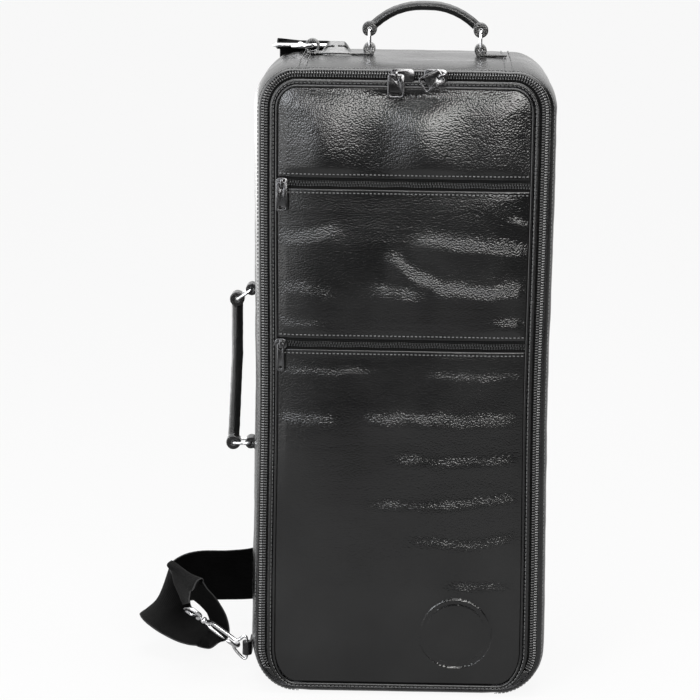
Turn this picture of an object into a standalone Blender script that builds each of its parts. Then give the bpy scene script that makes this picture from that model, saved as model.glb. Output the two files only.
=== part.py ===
"""Double trumpet gig bag: a leather clamshell bag with its lid, zips, handles and shoulder strap.

Metres, +Z up. The bag stands on its base at Z 0, its front lid faces -Y, and the origin is
the middle of the base.
"""

import math

import bmesh
import bpy
from mathutils import Matrix, Vector

# Overall size of the bag, and the clearance left between pieces that touch
BAG_WIDTH = 0.268
BAG_DEPTH = 0.190
BAG_HEIGHT = 0.574
TOP_CORNER = 0.040
BASE_CORNER = 0.043
GAP = 0.0003

# Gusset: four leathers round the sides, with foam and lining inside
LEATHER = 0.002
GUSSET_FOAM = 0.006
LINING = 0.0015
GUSSET_CROWN = 0.003
SHOULDER = 0.002
SHOULDER_RUN = 0.007
CROWN_RUN = 0.035
LIP = 0.0027
SEAM_X = 0.090
BACK_FOAM = 0.005
BACK_CROWN = 0.0015
BACK_CROWN_RUN = 0.020

# Main zip, in the front face between the gusset's lip and the lid's border
COIL_WIDTH = 0.0027
COIL_DEPTH = 0.0024
TAPE = 0.0008
TAPE_SHOWN = 0.0015
TAPE_UNDER = 0.0007
TAPE_SEWN = 0.0030
ZIP_END_TURN = 30.0
TAB_END_TURN = 60.0

# Lid: border, piping, three leather panels, foam and lining, hinged along the base
BORDER_WIDTH = 0.004
BORDER_BASE = 0.0015
BORDER_DEPTH = 0.0023
PIPING = 0.0025
PIPING_PROUD = 0.0004
PANEL_DEPTH = 0.0029
PANEL_EDGE = 0.0005
LID_CROWN = 0.003
LID_CROWN_RUN = 0.045
LID_FOAM = 0.007
POCKET_CLOTH = 0.0007
LID_LINING = 0.0014
LID_FIT = 0.003
HINGE_Y = -0.0953
HINGE_Z = 0.006
STRIP_HEIGHT = 0.0055
STRIP_SETBACK = 0.004

# Pocket zips across the lid
UPPER_ZIP_Z = 0.469
LOWER_ZIP_Z = 0.325
POCKET_MOUTH = 0.011
POCKET_TAPE_DEPTH = 0.0024
POCKET_COIL = 0.005
POCKET_COIL_PROUD = 0.0027
UPPER_POCKET_DROP = 0.128
LOWER_POCKET_DROP = 0.250
POCKET_MARGIN = 0.008

# Sliders and pulls
MAIN_SLIDER = (0.021, 0.011, 0.0018)
POCKET_SLIDER = (0.011, 0.009, 0.0016)
ARCH_WIDTH = 0.0024
ARCH_HOLE = (0.0044, 0.0026)
ARCH_BAR = 0.0011
ARCH_SUNK = 0.0006
MAIN_PULL = (0.015, 0.021, 0.0016)
UPPER_PULL = (0.0105, 0.0260, 0.0014)
LOWER_PULL = (0.0064, 0.0250, 0.0014)
EYE_BAR = 0.0016
PULL_RIM = 0.0018
LEFT_SLIDER_X = -0.0025
RIGHT_SLIDER_X = 0.0265
ARCH_OFFSET = 0.0055
RIGHT_PULL_ANGLE = 62.0
POCKET_SLIDER_X = -0.1075

# Handles: a rolled leather grip on two wire links, held by folded leather loops
HANDLE_Y = 0.008
LOOP_OUTER = 0.0056
LOOP_HOLE = 0.0022
ANCHOR_WIDTH = 0.016
ANCHOR_LEATHER = 0.0022
GRIP_LOOP_OUTER = 0.0068
GRIP_LOOP_WIDTH = 0.014
WIRE = 0.0015
LINK_SIDE = 0.0105
TOP_LINK = 0.018
TOP_GRIP_X = 0.0165
TOP_GRIP_SPAN = 0.101
TOP_GRIP_RISE = 0.0185
TOP_GRIP_FLATNESS = 2.4
TOP_GRIP_SUNK = 0.45
TOP_GRIP_RADIUS = 0.0044
TOP_ANCHOR_TAIL = 0.024
SIDE_LINK = 0.0165
SIDE_LINK_DROP = 0.0095
SIDE_UPPER_Z = 0.357
SIDE_LOWER_Z = 0.212
SIDE_GRIP_RADIUS = 0.0054
SIDE_ANCHOR_TAIL = 0.030
SIDE_GRIP_SUNK = 0.62
SIDE_GRIP_BOW = 0.0015

# Shoulder strap: webbing between two swivel snap hooks
STRAP_LOOP_IN = 0.048
STRAP_LOOP_HOLE = 0.0044
STRAP_LOOP_OUTER = 0.0070
STRAP_LOOP_WIDTH = 0.010
WEBBING_WIDTH = 0.050
WEBBING = 0.0018
EYE_WIRE = 0.0019
EYE_LENGTH = 0.0105
EYE_SPARE = 0.003
SWIVEL_RADIUS = 0.0036
SWIVEL_LENGTH = 0.005
HOOK_WIRE = 0.0021
HOOK_WIDTH = 0.018
HOOK_LENGTH = 0.042
HOOK_NECK = 0.0055
HOOK_MOUTH = (0.013, 0.029)
GATE_WIRE = 0.0015
UPPER_BAR_PLACE = (0.0385, 0.052, 0.0045)
UPPER_HOOK_SHIFT = -0.0045
LOWER_BAR_PLACE = (-0.0595, -0.060, 0.0680)
LOWER_BAR_TURN = (-0.20, 0.94, -0.277)
LOWER_HOOK_FALL = 36.0
RING_WIRE = 0.0016
RING_BAR = (0.0225, 0.0415)
RING_SHOULDER = ((0.0040, 0.0012), (0.0018, 0.0014))
RING_NOSE = 0.005
RING_TAB_WIDTH = 0.013
RING_TAB_TAIL = 0.022

# Inside: a padded divider and a rest and a valve block for each trumpet
DIVIDER = 0.008
BELL_REST = 0.025
PAD_FIT = 0.003
VALVE_BLOCK_Z = 0.235
VALVE_BLOCK_HEIGHT = 0.050
VALVE_BLOCK_DEPTH = 0.060
VALVE_NOTCH = (0.060, 0.040)

CORNER_STEPS = 6
WIRE_SIDES = 8
HALF_WIDTH = BAG_WIDTH / 2
FRONT = -BAG_DEPTH / 2
BACK = BAG_DEPTH / 2
STRAP_LOOP_X = STRAP_LOOP_IN - HALF_WIDTH
UPPER_BAR = (UPPER_BAR_PLACE[0] - HALF_WIDTH, UPPER_BAR_PLACE[1], UPPER_BAR_PLACE[2] + BAG_HEIGHT)
LOWER_BAR = (LOWER_BAR_PLACE[0] - HALF_WIDTH, LOWER_BAR_PLACE[1], LOWER_BAR_PLACE[2])

# Insets from the bag's widest outline, worked inwards across the front face
LIP_END = GUSSET_CROWN + LIP
BODY_COIL = LIP_END + GAP
ZIP_MIDDLE = BODY_COIL + COIL_WIDTH
LID_COIL = ZIP_MIDDLE + GAP
LID_COIL_END = LID_COIL + COIL_WIDTH
BORDER = LID_COIL_END + TAPE_SHOWN
BORDER_END = BORDER + BORDER_WIDTH
PIPING_START = BORDER_END + GAP
PIPING_END = PIPING_START + PIPING
PANEL = PIPING_END + GAP
GUSSET_INNER = LEATHER + GAP + GUSSET_FOAM
BODY_INNER = GUSSET_INNER + GAP + LINING
LID_BORDER_BASE = HINGE_Z + GAP
LID_PIPING_BASE = LID_BORDER_BASE + BORDER_BASE + GAP
LID_PANEL_BASE = LID_PIPING_BASE + PIPING + GAP
LID_INNER_BASE = BODY_INNER + LID_FIT / 2

# Depths of the layers behind the front face
TAPE_FRONT = FRONT + LEATHER + TAPE_UNDER - 0.0001
TAPE_REAR = TAPE_FRONT + TAPE
BORDER_REAR = TAPE_FRONT - GAP
PANEL_REAR = FRONT - PANEL_EDGE + PANEL_DEPTH
CLOTH_FRONT = PANEL_REAR + GAP
FOAM_FRONT = CLOTH_FRONT + POCKET_CLOTH + GAP
FOAM_REAR = FOAM_FRONT + LID_FOAM
LID_INNER = FOAM_REAR + GAP + LID_LINING
ZIP_FACE = FRONT + LEATHER + TAPE_UNDER - COIL_DEPTH


def material(name, colour, roughness, metallic=0.0):
    """A plain finish for one kind of piece."""
    made = bpy.data.materials.new(name)
    made.use_nodes = True
    shader = made.node_tree.nodes["Principled BSDF"]
    shader.inputs["Base Color"].default_value = (*colour, 1.0)
    shader.inputs["Roughness"].default_value = roughness
    shader.inputs["Metallic"].default_value = metallic
    return made


def place(name, bm, finish, origin=(0.0, 0.0, 0.0), smooth=True):
    """Makes an object from the bmesh, with its origin at the given point of the bag."""
    bmesh.ops.recalc_face_normals(bm, faces=bm.faces)
    if bm.calc_volume(signed=True) < 0.0:
        bmesh.ops.reverse_faces(bm, faces=bm.faces)
    bm.transform(Matrix.Translation(-Vector(origin)))
    mesh = bpy.data.meshes.new(name)
    bm.to_mesh(mesh)
    bm.free()
    if smooth:
        mesh.shade_smooth()
        mesh.set_sharp_from_angle(angle=math.radians(40))
    made = bpy.data.objects.new(name, mesh)
    made.location = origin
    mesh.materials.append(finish)
    bpy.context.scene.collection.objects.link(made)
    return made


def join_solids(base, *others):
    """Joins closed solids that meet into one, with the first one's name and finish."""
    for other in others:
        other.hide_render = True
        other.display_type = "WIRE"
        union = base.modifiers.new(other.name, "BOOLEAN")
        union.operation = "UNION"
        union.solver = "EXACT"
        union.object = other
    return base


def base_corner(inset, base_inset, side, word):
    """Points round one base corner, from the level base to the upright side, with the zip's end on it."""
    centre_x = HALF_WIDTH - BASE_CORNER
    radius_x, radius_z = BASE_CORNER - inset, BASE_CORNER - base_inset
    tab_turn = ZIP_END_TURN + math.degrees(GAP / radius_x)
    stops = (
        (None, 90.0), (None, (90.0 + TAB_END_TURN) / 2), ("corner", TAB_END_TURN),
        (None, (TAB_END_TURN + tab_turn) / 2), ("tab", tab_turn), ("zip", ZIP_END_TURN),
        (None, ZIP_END_TURN / 2), (None, 0.0),
    )
    points = []
    for name, below in stops:
        turn = math.radians(below)
        x = centre_x + radius_x * math.cos(turn)
        z = BASE_CORNER - radius_z * math.sin(turn)
        points.append((name and f"{name}_{word}", side * x, z))
    return points


def outline(inset, base_inset):
    """Named and plain points of the bag's front outline, drawn in by the insets."""
    top_x = HALF_WIDTH - TOP_CORNER
    top_z = BAG_HEIGHT - TOP_CORNER
    radius = TOP_CORNER - inset
    points = [("base_left", -SEAM_X, base_inset)] + base_corner(inset, base_inset, -1, "left")

    def top_corner(centre_x, start):
        for step in range(CORNER_STEPS + 1):
            turn = math.radians(start - 90.0 * step / CORNER_STEPS)
            points.append((None, centre_x + radius * math.cos(turn), top_z + radius * math.sin(turn)))

    top_corner(-top_x, 180)
    points.append(("top_left", -SEAM_X, BAG_HEIGHT - inset))
    points.append(("top_right", SEAM_X, BAG_HEIGHT - inset))
    top_corner(top_x, 90)
    points.extend(reversed(base_corner(inset, base_inset, 1, "right")))
    points.append(("base_right", SEAM_X, base_inset))
    return points


def run(inset, base_inset, ends):
    """The outline's points from one named place to another, or all of them."""
    points = outline(inset, base_inset)
    if ends is None:
        return [(x, z) for _, x, z in points]
    names = [name for name, _, _ in points]
    first, last = names.index(ends[0]), names.index(ends[1])
    if last < first:
        last += len(points)
    return [points[i % len(points)][1:] for i in range(first, last + 1)]


def follow_outline(section, ends=None):
    """Carries a section of (inset, base inset, y) corners along the bag's outline."""
    bm = bmesh.new()
    columns = [[(x, y, z) for x, z in run(i, b, ends)] for i, b, y in section]
    rows = [[bm.verts.new(column[i]) for column in columns] for i in range(len(columns[0]))]
    close_rows(bm, rows, closed=ends is None)
    return bm


def close_rows(bm, rows, closed):
    """Skins rows of section points, with end faces unless the rows form a ring."""
    count = len(rows[0])
    steps = len(rows) if closed else len(rows) - 1
    for i in range(steps):
        here, there = rows[i], rows[(i + 1) % len(rows)]
        for k in range(count):
            n = (k + 1) % count
            bm.faces.new((here[k], here[n], there[n], there[k]))
    if not closed:
        bm.faces.new(rows[0])
        bm.faces.new(list(reversed(rows[-1])))


def stack(loops):
    """A plate made of outlines, each (inset, base inset, y), from its front to its back."""
    bm = bmesh.new()
    rings = [[bm.verts.new((x, y, z)) for x, z in run(i, b, None)] for i, b, y in loops]
    close_rows(bm, rings, closed=False)
    return bm


def sweep(points, sides, width, depth, closed=False):
    """Carries a round or flat section along points; sides gives its width direction at each."""
    bm = bmesh.new()
    corners = section_corners(width, depth)
    last = len(points) - 1
    rows = []
    for i, point in enumerate(points):
        ahead = points[(i + 1) % len(points)] if closed else points[min(i + 1, last)]
        behind = points[i - 1] if closed else points[max(i - 1, 0)]
        along = (ahead - behind).normalized()
        side = (sides[i] - along * sides[i].dot(along)).normalized()
        out = along.cross(side)
        rows.append([bm.verts.new(point + side * a + out * b) for a, b in corners])
    close_rows(bm, rows, closed)
    return bm


def section_corners(width, depth):
    """Corners of a wire's round section, or of a flat band's where depth is given."""
    if depth is None:
        turns = [math.tau * k / WIRE_SIDES for k in range(WIRE_SIDES)]
        return [(width * math.cos(t), width * math.sin(t)) for t in turns]
    return [
        (-width / 2, -depth / 2), (width / 2, -depth / 2),
        (width / 2, depth / 2), (-width / 2, depth / 2),
    ]


def wire(points, radius, flat_to, closed=False):
    """A round wire or roll along points that lie in a plane with the given normal."""
    return sweep(points, [Vector(flat_to)] * len(points), radius, None, closed)


def slab(loops, depth, turn):
    """A flat plate from a 2D outline and its holes, grown along local Z and then placed."""
    bm = bmesh.new()
    edges = []
    for loop in loops:
        corners = [bm.verts.new((a, b, 0.0)) for a, b in loop]
        edges += [bm.edges.new((c, corners[i - 1])) for i, c in enumerate(corners)]
    filled = bmesh.ops.triangle_fill(bm, use_beauty=True, use_dissolve=False, edges=edges)
    faces = [f for f in filled["geom"] if isinstance(f, bmesh.types.BMFace)]
    grown = bmesh.ops.extrude_face_region(bm, geom=faces)
    moved = [v for v in grown["geom"] if isinstance(v, bmesh.types.BMVert)]
    bmesh.ops.translate(bm, verts=moved, vec=(0.0, 0.0, depth))
    bm.transform(turn)
    return bm


def round_box(width, height, radius, steps=3, centre=(0.0, 0.0)):
    """Outline of a rectangle with round corners."""
    points = []
    for k, (a, b) in enumerate(((1, 1), (-1, 1), (-1, -1), (1, -1))):
        for step in range(steps + 1):
            turn = math.radians(90 * k + 90 * step / steps)
            points.append((
                centre[0] + a * (width / 2 - radius) + radius * math.cos(turn),
                centre[1] + b * (height / 2 - radius) + radius * math.sin(turn),
            ))
    return points


def circle(radius, steps, centre=(0.0, 0.0)):
    """Outline of a circle."""
    turns = [math.tau * k / steps for k in range(steps)]
    return [(centre[0] + radius * math.cos(t), centre[1] + radius * math.sin(t)) for t in turns]


def frame_at(origin, a, b):
    """Matrix that stands a 2D outline at origin with its axes along a and b."""
    a = Vector(a).normalized()
    b = (Vector(b) - a * Vector(b).dot(a)).normalized()
    turn = Matrix((a, b, a.cross(b))).transposed().to_4x4()
    return Matrix.Translation(origin) @ turn


def leather_loop(name, centre, outer, hole, width, finish):
    """A folded leather loop: a short tube along Y that a wire or a hook passes through."""
    start = Vector(centre) + Vector((0.0, width / 2, 0.0))
    turn = frame_at(start, (1, 0, 0), (0, 0, 1))
    return place(name, slab([circle(outer, 16), circle(hole, 12)], width, turn), finish)


def clear_scene():
    """Empties the scene."""
    for old in list(bpy.data.objects):
        bpy.data.objects.remove(old, do_unlink=True)


def gusset_section():
    """Section of a gusset leather: crowned outside, turned in over both edges."""
    shoulder = BAG_DEPTH / 2 - SHOULDER_RUN
    flat = BAG_DEPTH / 2 - CROWN_RUN
    drop = GUSSET_CROWN - SHOULDER
    outer = [
        (LIP_END, LIP_END, FRONT), (GUSSET_CROWN, GUSSET_CROWN, FRONT), (drop, 0.0, -shoulder),
        (0.0, 0.0, -flat), (0.0, 0.0, flat), (drop, 0.0, shoulder),
        (GUSSET_CROWN, GUSSET_CROWN, BACK), (LIP_END, LIP_END, BACK),
    ]
    inner_edge = BAG_DEPTH / 2 - LEATHER
    wall = GUSSET_CROWN + LEATHER
    inner = [
        (LIP_END, LIP_END, inner_edge), (wall, wall, inner_edge), (drop + LEATHER, LEATHER, shoulder),
        (LEATHER, LEATHER, flat), (LEATHER, LEATHER, -flat), (drop + LEATHER, LEATHER, -shoulder),
        (wall, wall, -inner_edge), (LIP_END, LIP_END, -inner_edge),
    ]
    return outer + inner


def build_body(finish):
    """The bag's body: gusset leathers, back, foam, lining and the zip's fixed half."""
    section = gusset_section()
    for name, ends in (
        ("left_gusset", ("base_left", "top_left")),
        ("top_gusset", ("top_left", "top_right")),
        ("right_gusset", ("top_right", "base_right")),
        ("base_gusset", ("base_right", "base_left")),
    ):
        bm = follow_outline(section, ends)
        narrow_ends(bm, name)
        place(name, bm, finish["leather"])

    foam_end = BAG_DEPTH / 2 - SHOULDER_RUN - 0.001
    foam_out = GUSSET_CROWN - SHOULDER + LEATHER + GAP
    flat = BAG_DEPTH / 2 - CROWN_RUN
    bare = LEATHER + GAP
    place("gusset_foam", follow_outline([
        (foam_out, bare, -foam_end), (bare, bare, -flat), (bare, bare, flat), (foam_out, bare, foam_end),
        (GUSSET_INNER, GUSSET_INNER, foam_end), (GUSSET_INNER, GUSSET_INNER, -foam_end),
    ]), finish["foam"])

    lining_out = GUSSET_INNER + GAP
    lining_back = foam_end
    place("body_lining", stack([
        (BODY_INNER, BODY_INNER, lining_back - LINING), (BODY_INNER, BODY_INNER, -foam_end),
        (lining_out, lining_out, -foam_end), (lining_out, lining_out, lining_back),
    ]), finish["plush"])

    back_edge = LIP_END + GAP
    foam_front = lining_back + GAP
    foam_back = foam_front + BACK_FOAM
    place("back_foam", stack([
        (back_edge, back_edge, foam_front), (back_edge, back_edge, foam_back),
    ]), finish["foam"])
    place("back_panel", stack([
        (back_edge, back_edge, foam_back + GAP), (back_edge, back_edge, BACK),
        (back_edge + BACK_CROWN_RUN, back_edge + BACK_CROWN_RUN, BACK + BACK_CROWN),
    ]), finish["leather"])

    tape_start = GUSSET_CROWN + LEATHER + GAP
    place("zip_body_side", follow_outline([
        (tape_start, tape_start, TAPE_REAR), (ZIP_MIDDLE, ZIP_MIDDLE, TAPE_REAR),
        (ZIP_MIDDLE, ZIP_MIDDLE, ZIP_FACE), (BODY_COIL, BODY_COIL, ZIP_FACE),
        (BODY_COIL, BODY_COIL, TAPE_FRONT), (tape_start, tape_start, TAPE_FRONT),
    ], ("zip_left", "zip_right")), finish["zip"])

    tab = [
        (BODY_COIL, BODY_COIL, ZIP_FACE), (BORDER - GAP, BODY_COIL + GAP, ZIP_FACE),
        (BORDER - GAP, BODY_COIL + GAP, BORDER_REAR), (BODY_COIL, BODY_COIL, BORDER_REAR),
    ]
    place("left_zip_tab", follow_outline(tab, ("corner_left", "tab_left")), finish["leather"])
    place("right_zip_tab", follow_outline(tab, ("tab_right", "corner_right")), finish["leather"])

    strip_half = HALF_WIDTH - BASE_CORNER - STRIP_SETBACK
    strip = bmesh.new()
    bmesh.ops.create_cube(strip, size=1.0)
    bmesh.ops.scale(strip, verts=strip.verts, vec=(2 * strip_half, TAPE, STRIP_HEIGHT))
    middle = Vector((0.0, TAPE_FRONT + TAPE / 2, tape_start + STRIP_HEIGHT / 2))
    bmesh.ops.translate(strip, verts=strip.verts, vec=middle)
    place("hinge_strip", strip, finish["webbing"], smooth=False)


def narrow_ends(bm, name):
    """Draws the seams of the top and base leathers in, so that they clear the side ones."""
    if name in ("top_gusset", "base_gusset"):
        for vert in bm.verts:
            vert.co.x -= math.copysign(GAP, vert.co.x)


def build_inside(finish):
    """The padded divider, and each trumpet's bell rest and notched valve block."""
    low = BODY_INNER + GAP
    high = BAG_HEIGHT - BODY_INNER - GAP
    inner_back = BAG_DEPTH / 2 - SHOULDER_RUN - 0.001 - LINING - GAP
    inner_front = LID_INNER + PAD_FIT
    wall = HALF_WIDTH - BODY_INNER - GAP
    half = DIVIDER / 2

    def block(name, corners, base, height):
        turn = frame_at((0.0, 0.0, base), (1, 0, 0), (0, 1, 0))
        place(name, slab([corners], height, turn), finish["plush"], smooth=False)

    block("divider", [(-half, inner_front), (half, inner_front), (half, inner_back), (-half, inner_back)],
          low, high - low)
    for side, name in ((-1, "left"), (1, "right")):
        near, far = side * (half + GAP), side * (wall - BASE_CORNER + BODY_INNER)
        block(name + "_bell_rest", [(near, inner_front), (far, inner_front), (far, inner_back),
                                    (near, inner_back)], low, BELL_REST)
        far = side * wall
        middle = (near + far) / 2
        notch = VALVE_NOTCH[0] / 2
        front = inner_back - VALVE_BLOCK_DEPTH
        floor = front + VALVE_NOTCH[1]
        block(name + "_valve_block", [
            (near, front), (middle - side * notch, front), (middle - side * notch, floor),
            (middle + side * notch, floor), (middle + side * notch, front), (far, front),
            (far, inner_back), (near, inner_back),
        ], VALVE_BLOCK_Z, VALVE_BLOCK_HEIGHT)


def panel_half(z):
    """Half width of the lid's panels at a height."""
    top_z = BAG_HEIGHT - TOP_CORNER
    if z > top_z:
        radius = TOP_CORNER - PANEL
        return HALF_WIDTH - TOP_CORNER + math.sqrt(max(radius**2 - (z - top_z) ** 2, 0.0))
    if z < BASE_CORNER:
        share = (BASE_CORNER - z) / (BASE_CORNER - LID_PANEL_BASE)
        return HALF_WIDTH - BASE_CORNER + (BASE_CORNER - PANEL) * math.sqrt(max(1 - share**2, 0.0))
    return HALF_WIDTH - PANEL


def panel_front(x, z):
    """Depth of the lid's crowned front at a place on it."""
    edge = min(panel_half(z) - abs(x), BAG_HEIGHT - PANEL - z, z - LID_PANEL_BASE)
    share = 1 - min(max(edge, 0.0) / LID_CROWN_RUN, 1.0)
    return FRONT - PANEL_EDGE - LID_CROWN * (1 - share**2)


def panel(heights):
    """One leather panel of the lid between its lowest and highest rows."""
    bm = bmesh.new()
    across = (-1.0, -0.86, -0.5, 0.0, 0.5, 0.86, 1.0)
    rows = []
    for z in heights:
        half = panel_half(z)
        front = [bm.verts.new((u * half, panel_front(u * half, z), z)) for u in across]
        rear = [bm.verts.new((u * half, PANEL_REAR, z)) for u in reversed(across)]
        rows.append(front + rear)
    close_rows(bm, rows, closed=False)
    return bm


def spread(low, high, count):
    """Evenly spaced values from low to high."""
    return [low + (high - low) * i / (count - 1) for i in range(count)]


def corner_heights(start, reach, steps):
    """Heights round a corner, closer together where the outline turns inwards."""
    return [start + reach * math.sin(math.radians(80.0 * i / steps)) for i in range(1, steps + 1)]


def build_lid(finish):
    """The lid that carries the two pockets, with the zip's moving half."""
    hinge = (0.0, HINGE_Y, HINGE_Z)
    mouth = POCKET_MOUTH / 2
    top_z = BAG_HEIGHT - TOP_CORNER
    high = BAG_HEIGHT - PANEL
    upper = spread(UPPER_ZIP_Z + mouth, top_z, 3)
    upper += corner_heights(top_z, high - top_z, 5)
    lower = [2 * BASE_CORNER - z for z in corner_heights(BASE_CORNER, BASE_CORNER - LID_PANEL_BASE, 5)]
    lower = lower[::-1] + spread(BASE_CORNER, LOWER_ZIP_Z - mouth, 7)
    middle = spread(LOWER_ZIP_Z + mouth, UPPER_ZIP_Z - mouth, 4)
    place("lid_top_panel", panel(upper), finish["leather"], hinge)
    place("lid_middle_panel", panel(middle), finish["leather"], hinge)
    place("lid_lower_panel", panel(lower), finish["leather"], hinge)

    front = BORDER_REAR - BORDER_DEPTH
    base_end = LID_BORDER_BASE + BORDER_BASE
    place("lid_border", follow_outline([
        (BORDER, LID_BORDER_BASE, BORDER_REAR), (BORDER_END, base_end, BORDER_REAR),
        (BORDER_END, base_end, front), (BORDER, LID_BORDER_BASE, front),
    ]), finish["leather"], hinge)

    radius = PIPING / 2
    centre = (PIPING_START + radius, LID_PIPING_BASE + radius, FRONT - PIPING_PROUD)
    ring = []
    for k in range(6):
        turn = math.tau * k / 6
        shift = radius * math.cos(turn)
        ring.append((centre[0] + shift, centre[1] + shift, centre[2] + radius * math.sin(turn)))
    place("lid_piping", follow_outline(ring), finish["leather"], hinge)

    tape_end = BORDER + TAPE_SEWN
    place("zip_lid_side", follow_outline([
        (LID_COIL, LID_COIL, TAPE_REAR), (LID_COIL, LID_COIL, ZIP_FACE),
        (LID_COIL_END, LID_COIL_END, ZIP_FACE), (LID_COIL_END, LID_COIL_END, TAPE_FRONT),
        (tape_end, tape_end, TAPE_FRONT), (tape_end, tape_end, TAPE_REAR),
    ], ("zip_left", "zip_right")), finish["zip"], hinge)

    foam_edge = tape_end + GAP
    place("lid_foam", stack([
        (foam_edge, LID_INNER_BASE, FOAM_FRONT), (foam_edge, LID_INNER_BASE, FOAM_REAR),
    ]), finish["foam"], hinge)
    lining_edge = BODY_INNER + LID_FIT
    place("lid_lining", stack([
        (lining_edge, LID_INNER_BASE, FOAM_REAR + GAP), (lining_edge, LID_INNER_BASE, LID_INNER),
    ]), finish["plush"], hinge)

    pockets = (("upper", UPPER_ZIP_Z, UPPER_POCKET_DROP), ("lower", LOWER_ZIP_Z, LOWER_POCKET_DROP))
    for name, z, drop in pockets:
        half = panel_half(z)
        face = FRONT - POCKET_COIL_PROUD
        tape = FRONT - PANEL_EDGE + PANEL_DEPTH - POCKET_TAPE_DEPTH
        corners = [
            (PANEL_REAR, mouth - GAP), (PANEL_REAR, GAP - mouth), (tape, GAP - mouth),
            (tape, -POCKET_COIL / 2), (face, -POCKET_COIL / 2), (face, POCKET_COIL / 2),
            (tape, POCKET_COIL / 2), (tape, mouth - GAP),
        ]
        turn = frame_at((-half, 0.0, z), (0, 1, 0), (0, 0, 1))
        place(name + "_pocket_zip", slab([corners], 2 * half, turn), finish["zip"], hinge, smooth=False)
        across = half - POCKET_MARGIN
        cloth = bmesh.new()
        bmesh.ops.create_cube(cloth, size=1.0)
        bmesh.ops.scale(cloth, verts=cloth.verts, vec=(2 * across, POCKET_CLOTH, drop))
        at = Vector((0.0, CLOTH_FRONT + POCKET_CLOTH / 2, z - drop / 2))
        bmesh.ops.translate(cloth, verts=cloth.verts, vec=at)
        place(name + "_pocket_bag", cloth, finish["plush"], hinge, smooth=False)


def slider(name, size, x, y, z, angle, arch_x, finish):
    """A zip slider: a rounded plate in front of the coil, with an arch for its pull."""
    length, width, thick = size
    axis = (x, y, z)
    turn = frame_at((x, y, z), (1, 0, 0), (0, 0, 1))
    plate = place(name, slab([round_box(length, width, width * 0.36)], thick, turn), finish, axis)
    hole_width, hole_depth = ARCH_HOLE
    leg = hole_width / 2 + ARCH_BAR
    top = hole_depth + ARCH_BAR
    corners = [
        (-leg, -ARCH_SUNK), (-hole_width / 2, -ARCH_SUNK), (-hole_width / 2, hole_depth),
        (hole_width / 2, hole_depth), (hole_width / 2, -ARCH_SUNK), (leg, -ARCH_SUNK), (leg, top),
        (-leg, top),
    ]
    swing = math.radians(angle)
    bar = Vector((math.cos(swing), 0.0, -math.sin(swing)))
    across = Vector((math.sin(swing), 0.0, math.cos(swing)))
    start = Vector((arch_x, y - thick, z)) - bar * ARCH_WIDTH / 2
    arch = place(name + "_arch", slab([corners], ARCH_WIDTH, frame_at(start, across, (0, -1, 0))), finish)
    return join_solids(plate, arch)


def pull(name, size, x, y, z, angle, finish):
    """A flat zip pull: an eye at its top that turns in the slider's arch, a slot at its end."""
    width, length, thick = size
    swing = math.radians(angle)
    bar = Vector((math.cos(swing), 0.0, -math.sin(swing)))
    up = Vector((math.sin(swing), 0.0, math.cos(swing)))
    leg = ARCH_HOLE[0] / 2 + ARCH_BAR
    eye_height = leg + 2 * GAP + EYE_BAR / 2
    eye_low = -eye_height
    eye_high = -EYE_BAR / 2
    inner = ARCH_WIDTH + 4 * GAP
    top = EYE_BAR / 2
    body = round_box(width, length, min(width * 0.3, 0.0025), centre=(0.0, top - length / 2))
    eye = round_box(inner, eye_high - eye_low, 0.0005, 1, (0.0, (eye_high + eye_low) / 2))
    slot_width = width - 2 * PULL_RIM
    slot_height = min(slot_width, 0.0035)
    low = top - length + PULL_RIM + slot_height / 2
    slot = round_box(slot_width, slot_height, slot_height * 0.4, 2, (0.0, low))
    turn = frame_at(Vector((x, y + thick / 2, z)), bar, up)
    bm = slab([body, eye, slot], thick, turn)
    return place(name, bm, finish, (x, y, z), smooth=False)


def arch_axis(face, size):
    """Depth of the bar that a pull turns on, in a slider whose plate starts at face."""
    return face - GAP - size[2] - ARCH_HOLE[1] / 2


def build_sliders(finish):
    """Both sliders of the main zip and the two pocket sliders, each with its pull."""
    zip_z = BAG_HEIGHT - ZIP_MIDDLE
    face = min(ZIP_FACE, FRONT)
    for side, x, angle in (("left", LEFT_SLIDER_X, 0.0), ("right", RIGHT_SLIDER_X, RIGHT_PULL_ANGLE)):
        arch_x = x + (ARCH_OFFSET if side == "right" else -ARCH_OFFSET)
        name = side + "_main_"
        slider(name + "slider", MAIN_SLIDER, x, face - GAP, zip_z, angle, arch_x, finish["dark_metal"])
        depth = arch_axis(face, MAIN_SLIDER)
        pull(name + "pull", MAIN_PULL, arch_x, depth, zip_z, angle, finish["dark_metal"])
    face = FRONT - POCKET_COIL_PROUD
    for side, z, size in (("upper", UPPER_ZIP_Z, UPPER_PULL), ("lower", LOWER_ZIP_Z, LOWER_PULL)):
        name = side + "_pocket_"
        slider(name + "slider", POCKET_SLIDER, POCKET_SLIDER_X, face - GAP, z, 0.0, POCKET_SLIDER_X,
               finish["dark_metal"])
        depth = arch_axis(face, POCKET_SLIDER)
        pull(name + "pull", size, POCKET_SLIDER_X, depth, z, 0.0, finish["dark_metal"])


def link(name, start, end, finish):
    """A rectangular wire link whose two bars run along Y, from one leather loop to the next."""
    start, end = Vector(start), Vector(end)
    along = (end - start).normalized()
    points = []
    for a, b in round_box((end - start).length, 2 * LINK_SIDE, 2 * WIRE, 2):
        points.append((start + end) / 2 + along * a + Vector((0.0, b, 0.0)))
    normal = along.cross(Vector((0.0, 1.0, 0.0)))
    return place(name, wire(points, WIRE, normal, closed=True), finish, start)


def anchor(name, plate_corners, plate_turn, loops, finish):
    """A leather anchor: a sewn strap with one or two folded loops standing on it."""
    base = place(name, slab([plate_corners], ANCHOR_LEATHER, plate_turn), finish)
    return join_solids(base, *loops)


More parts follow.
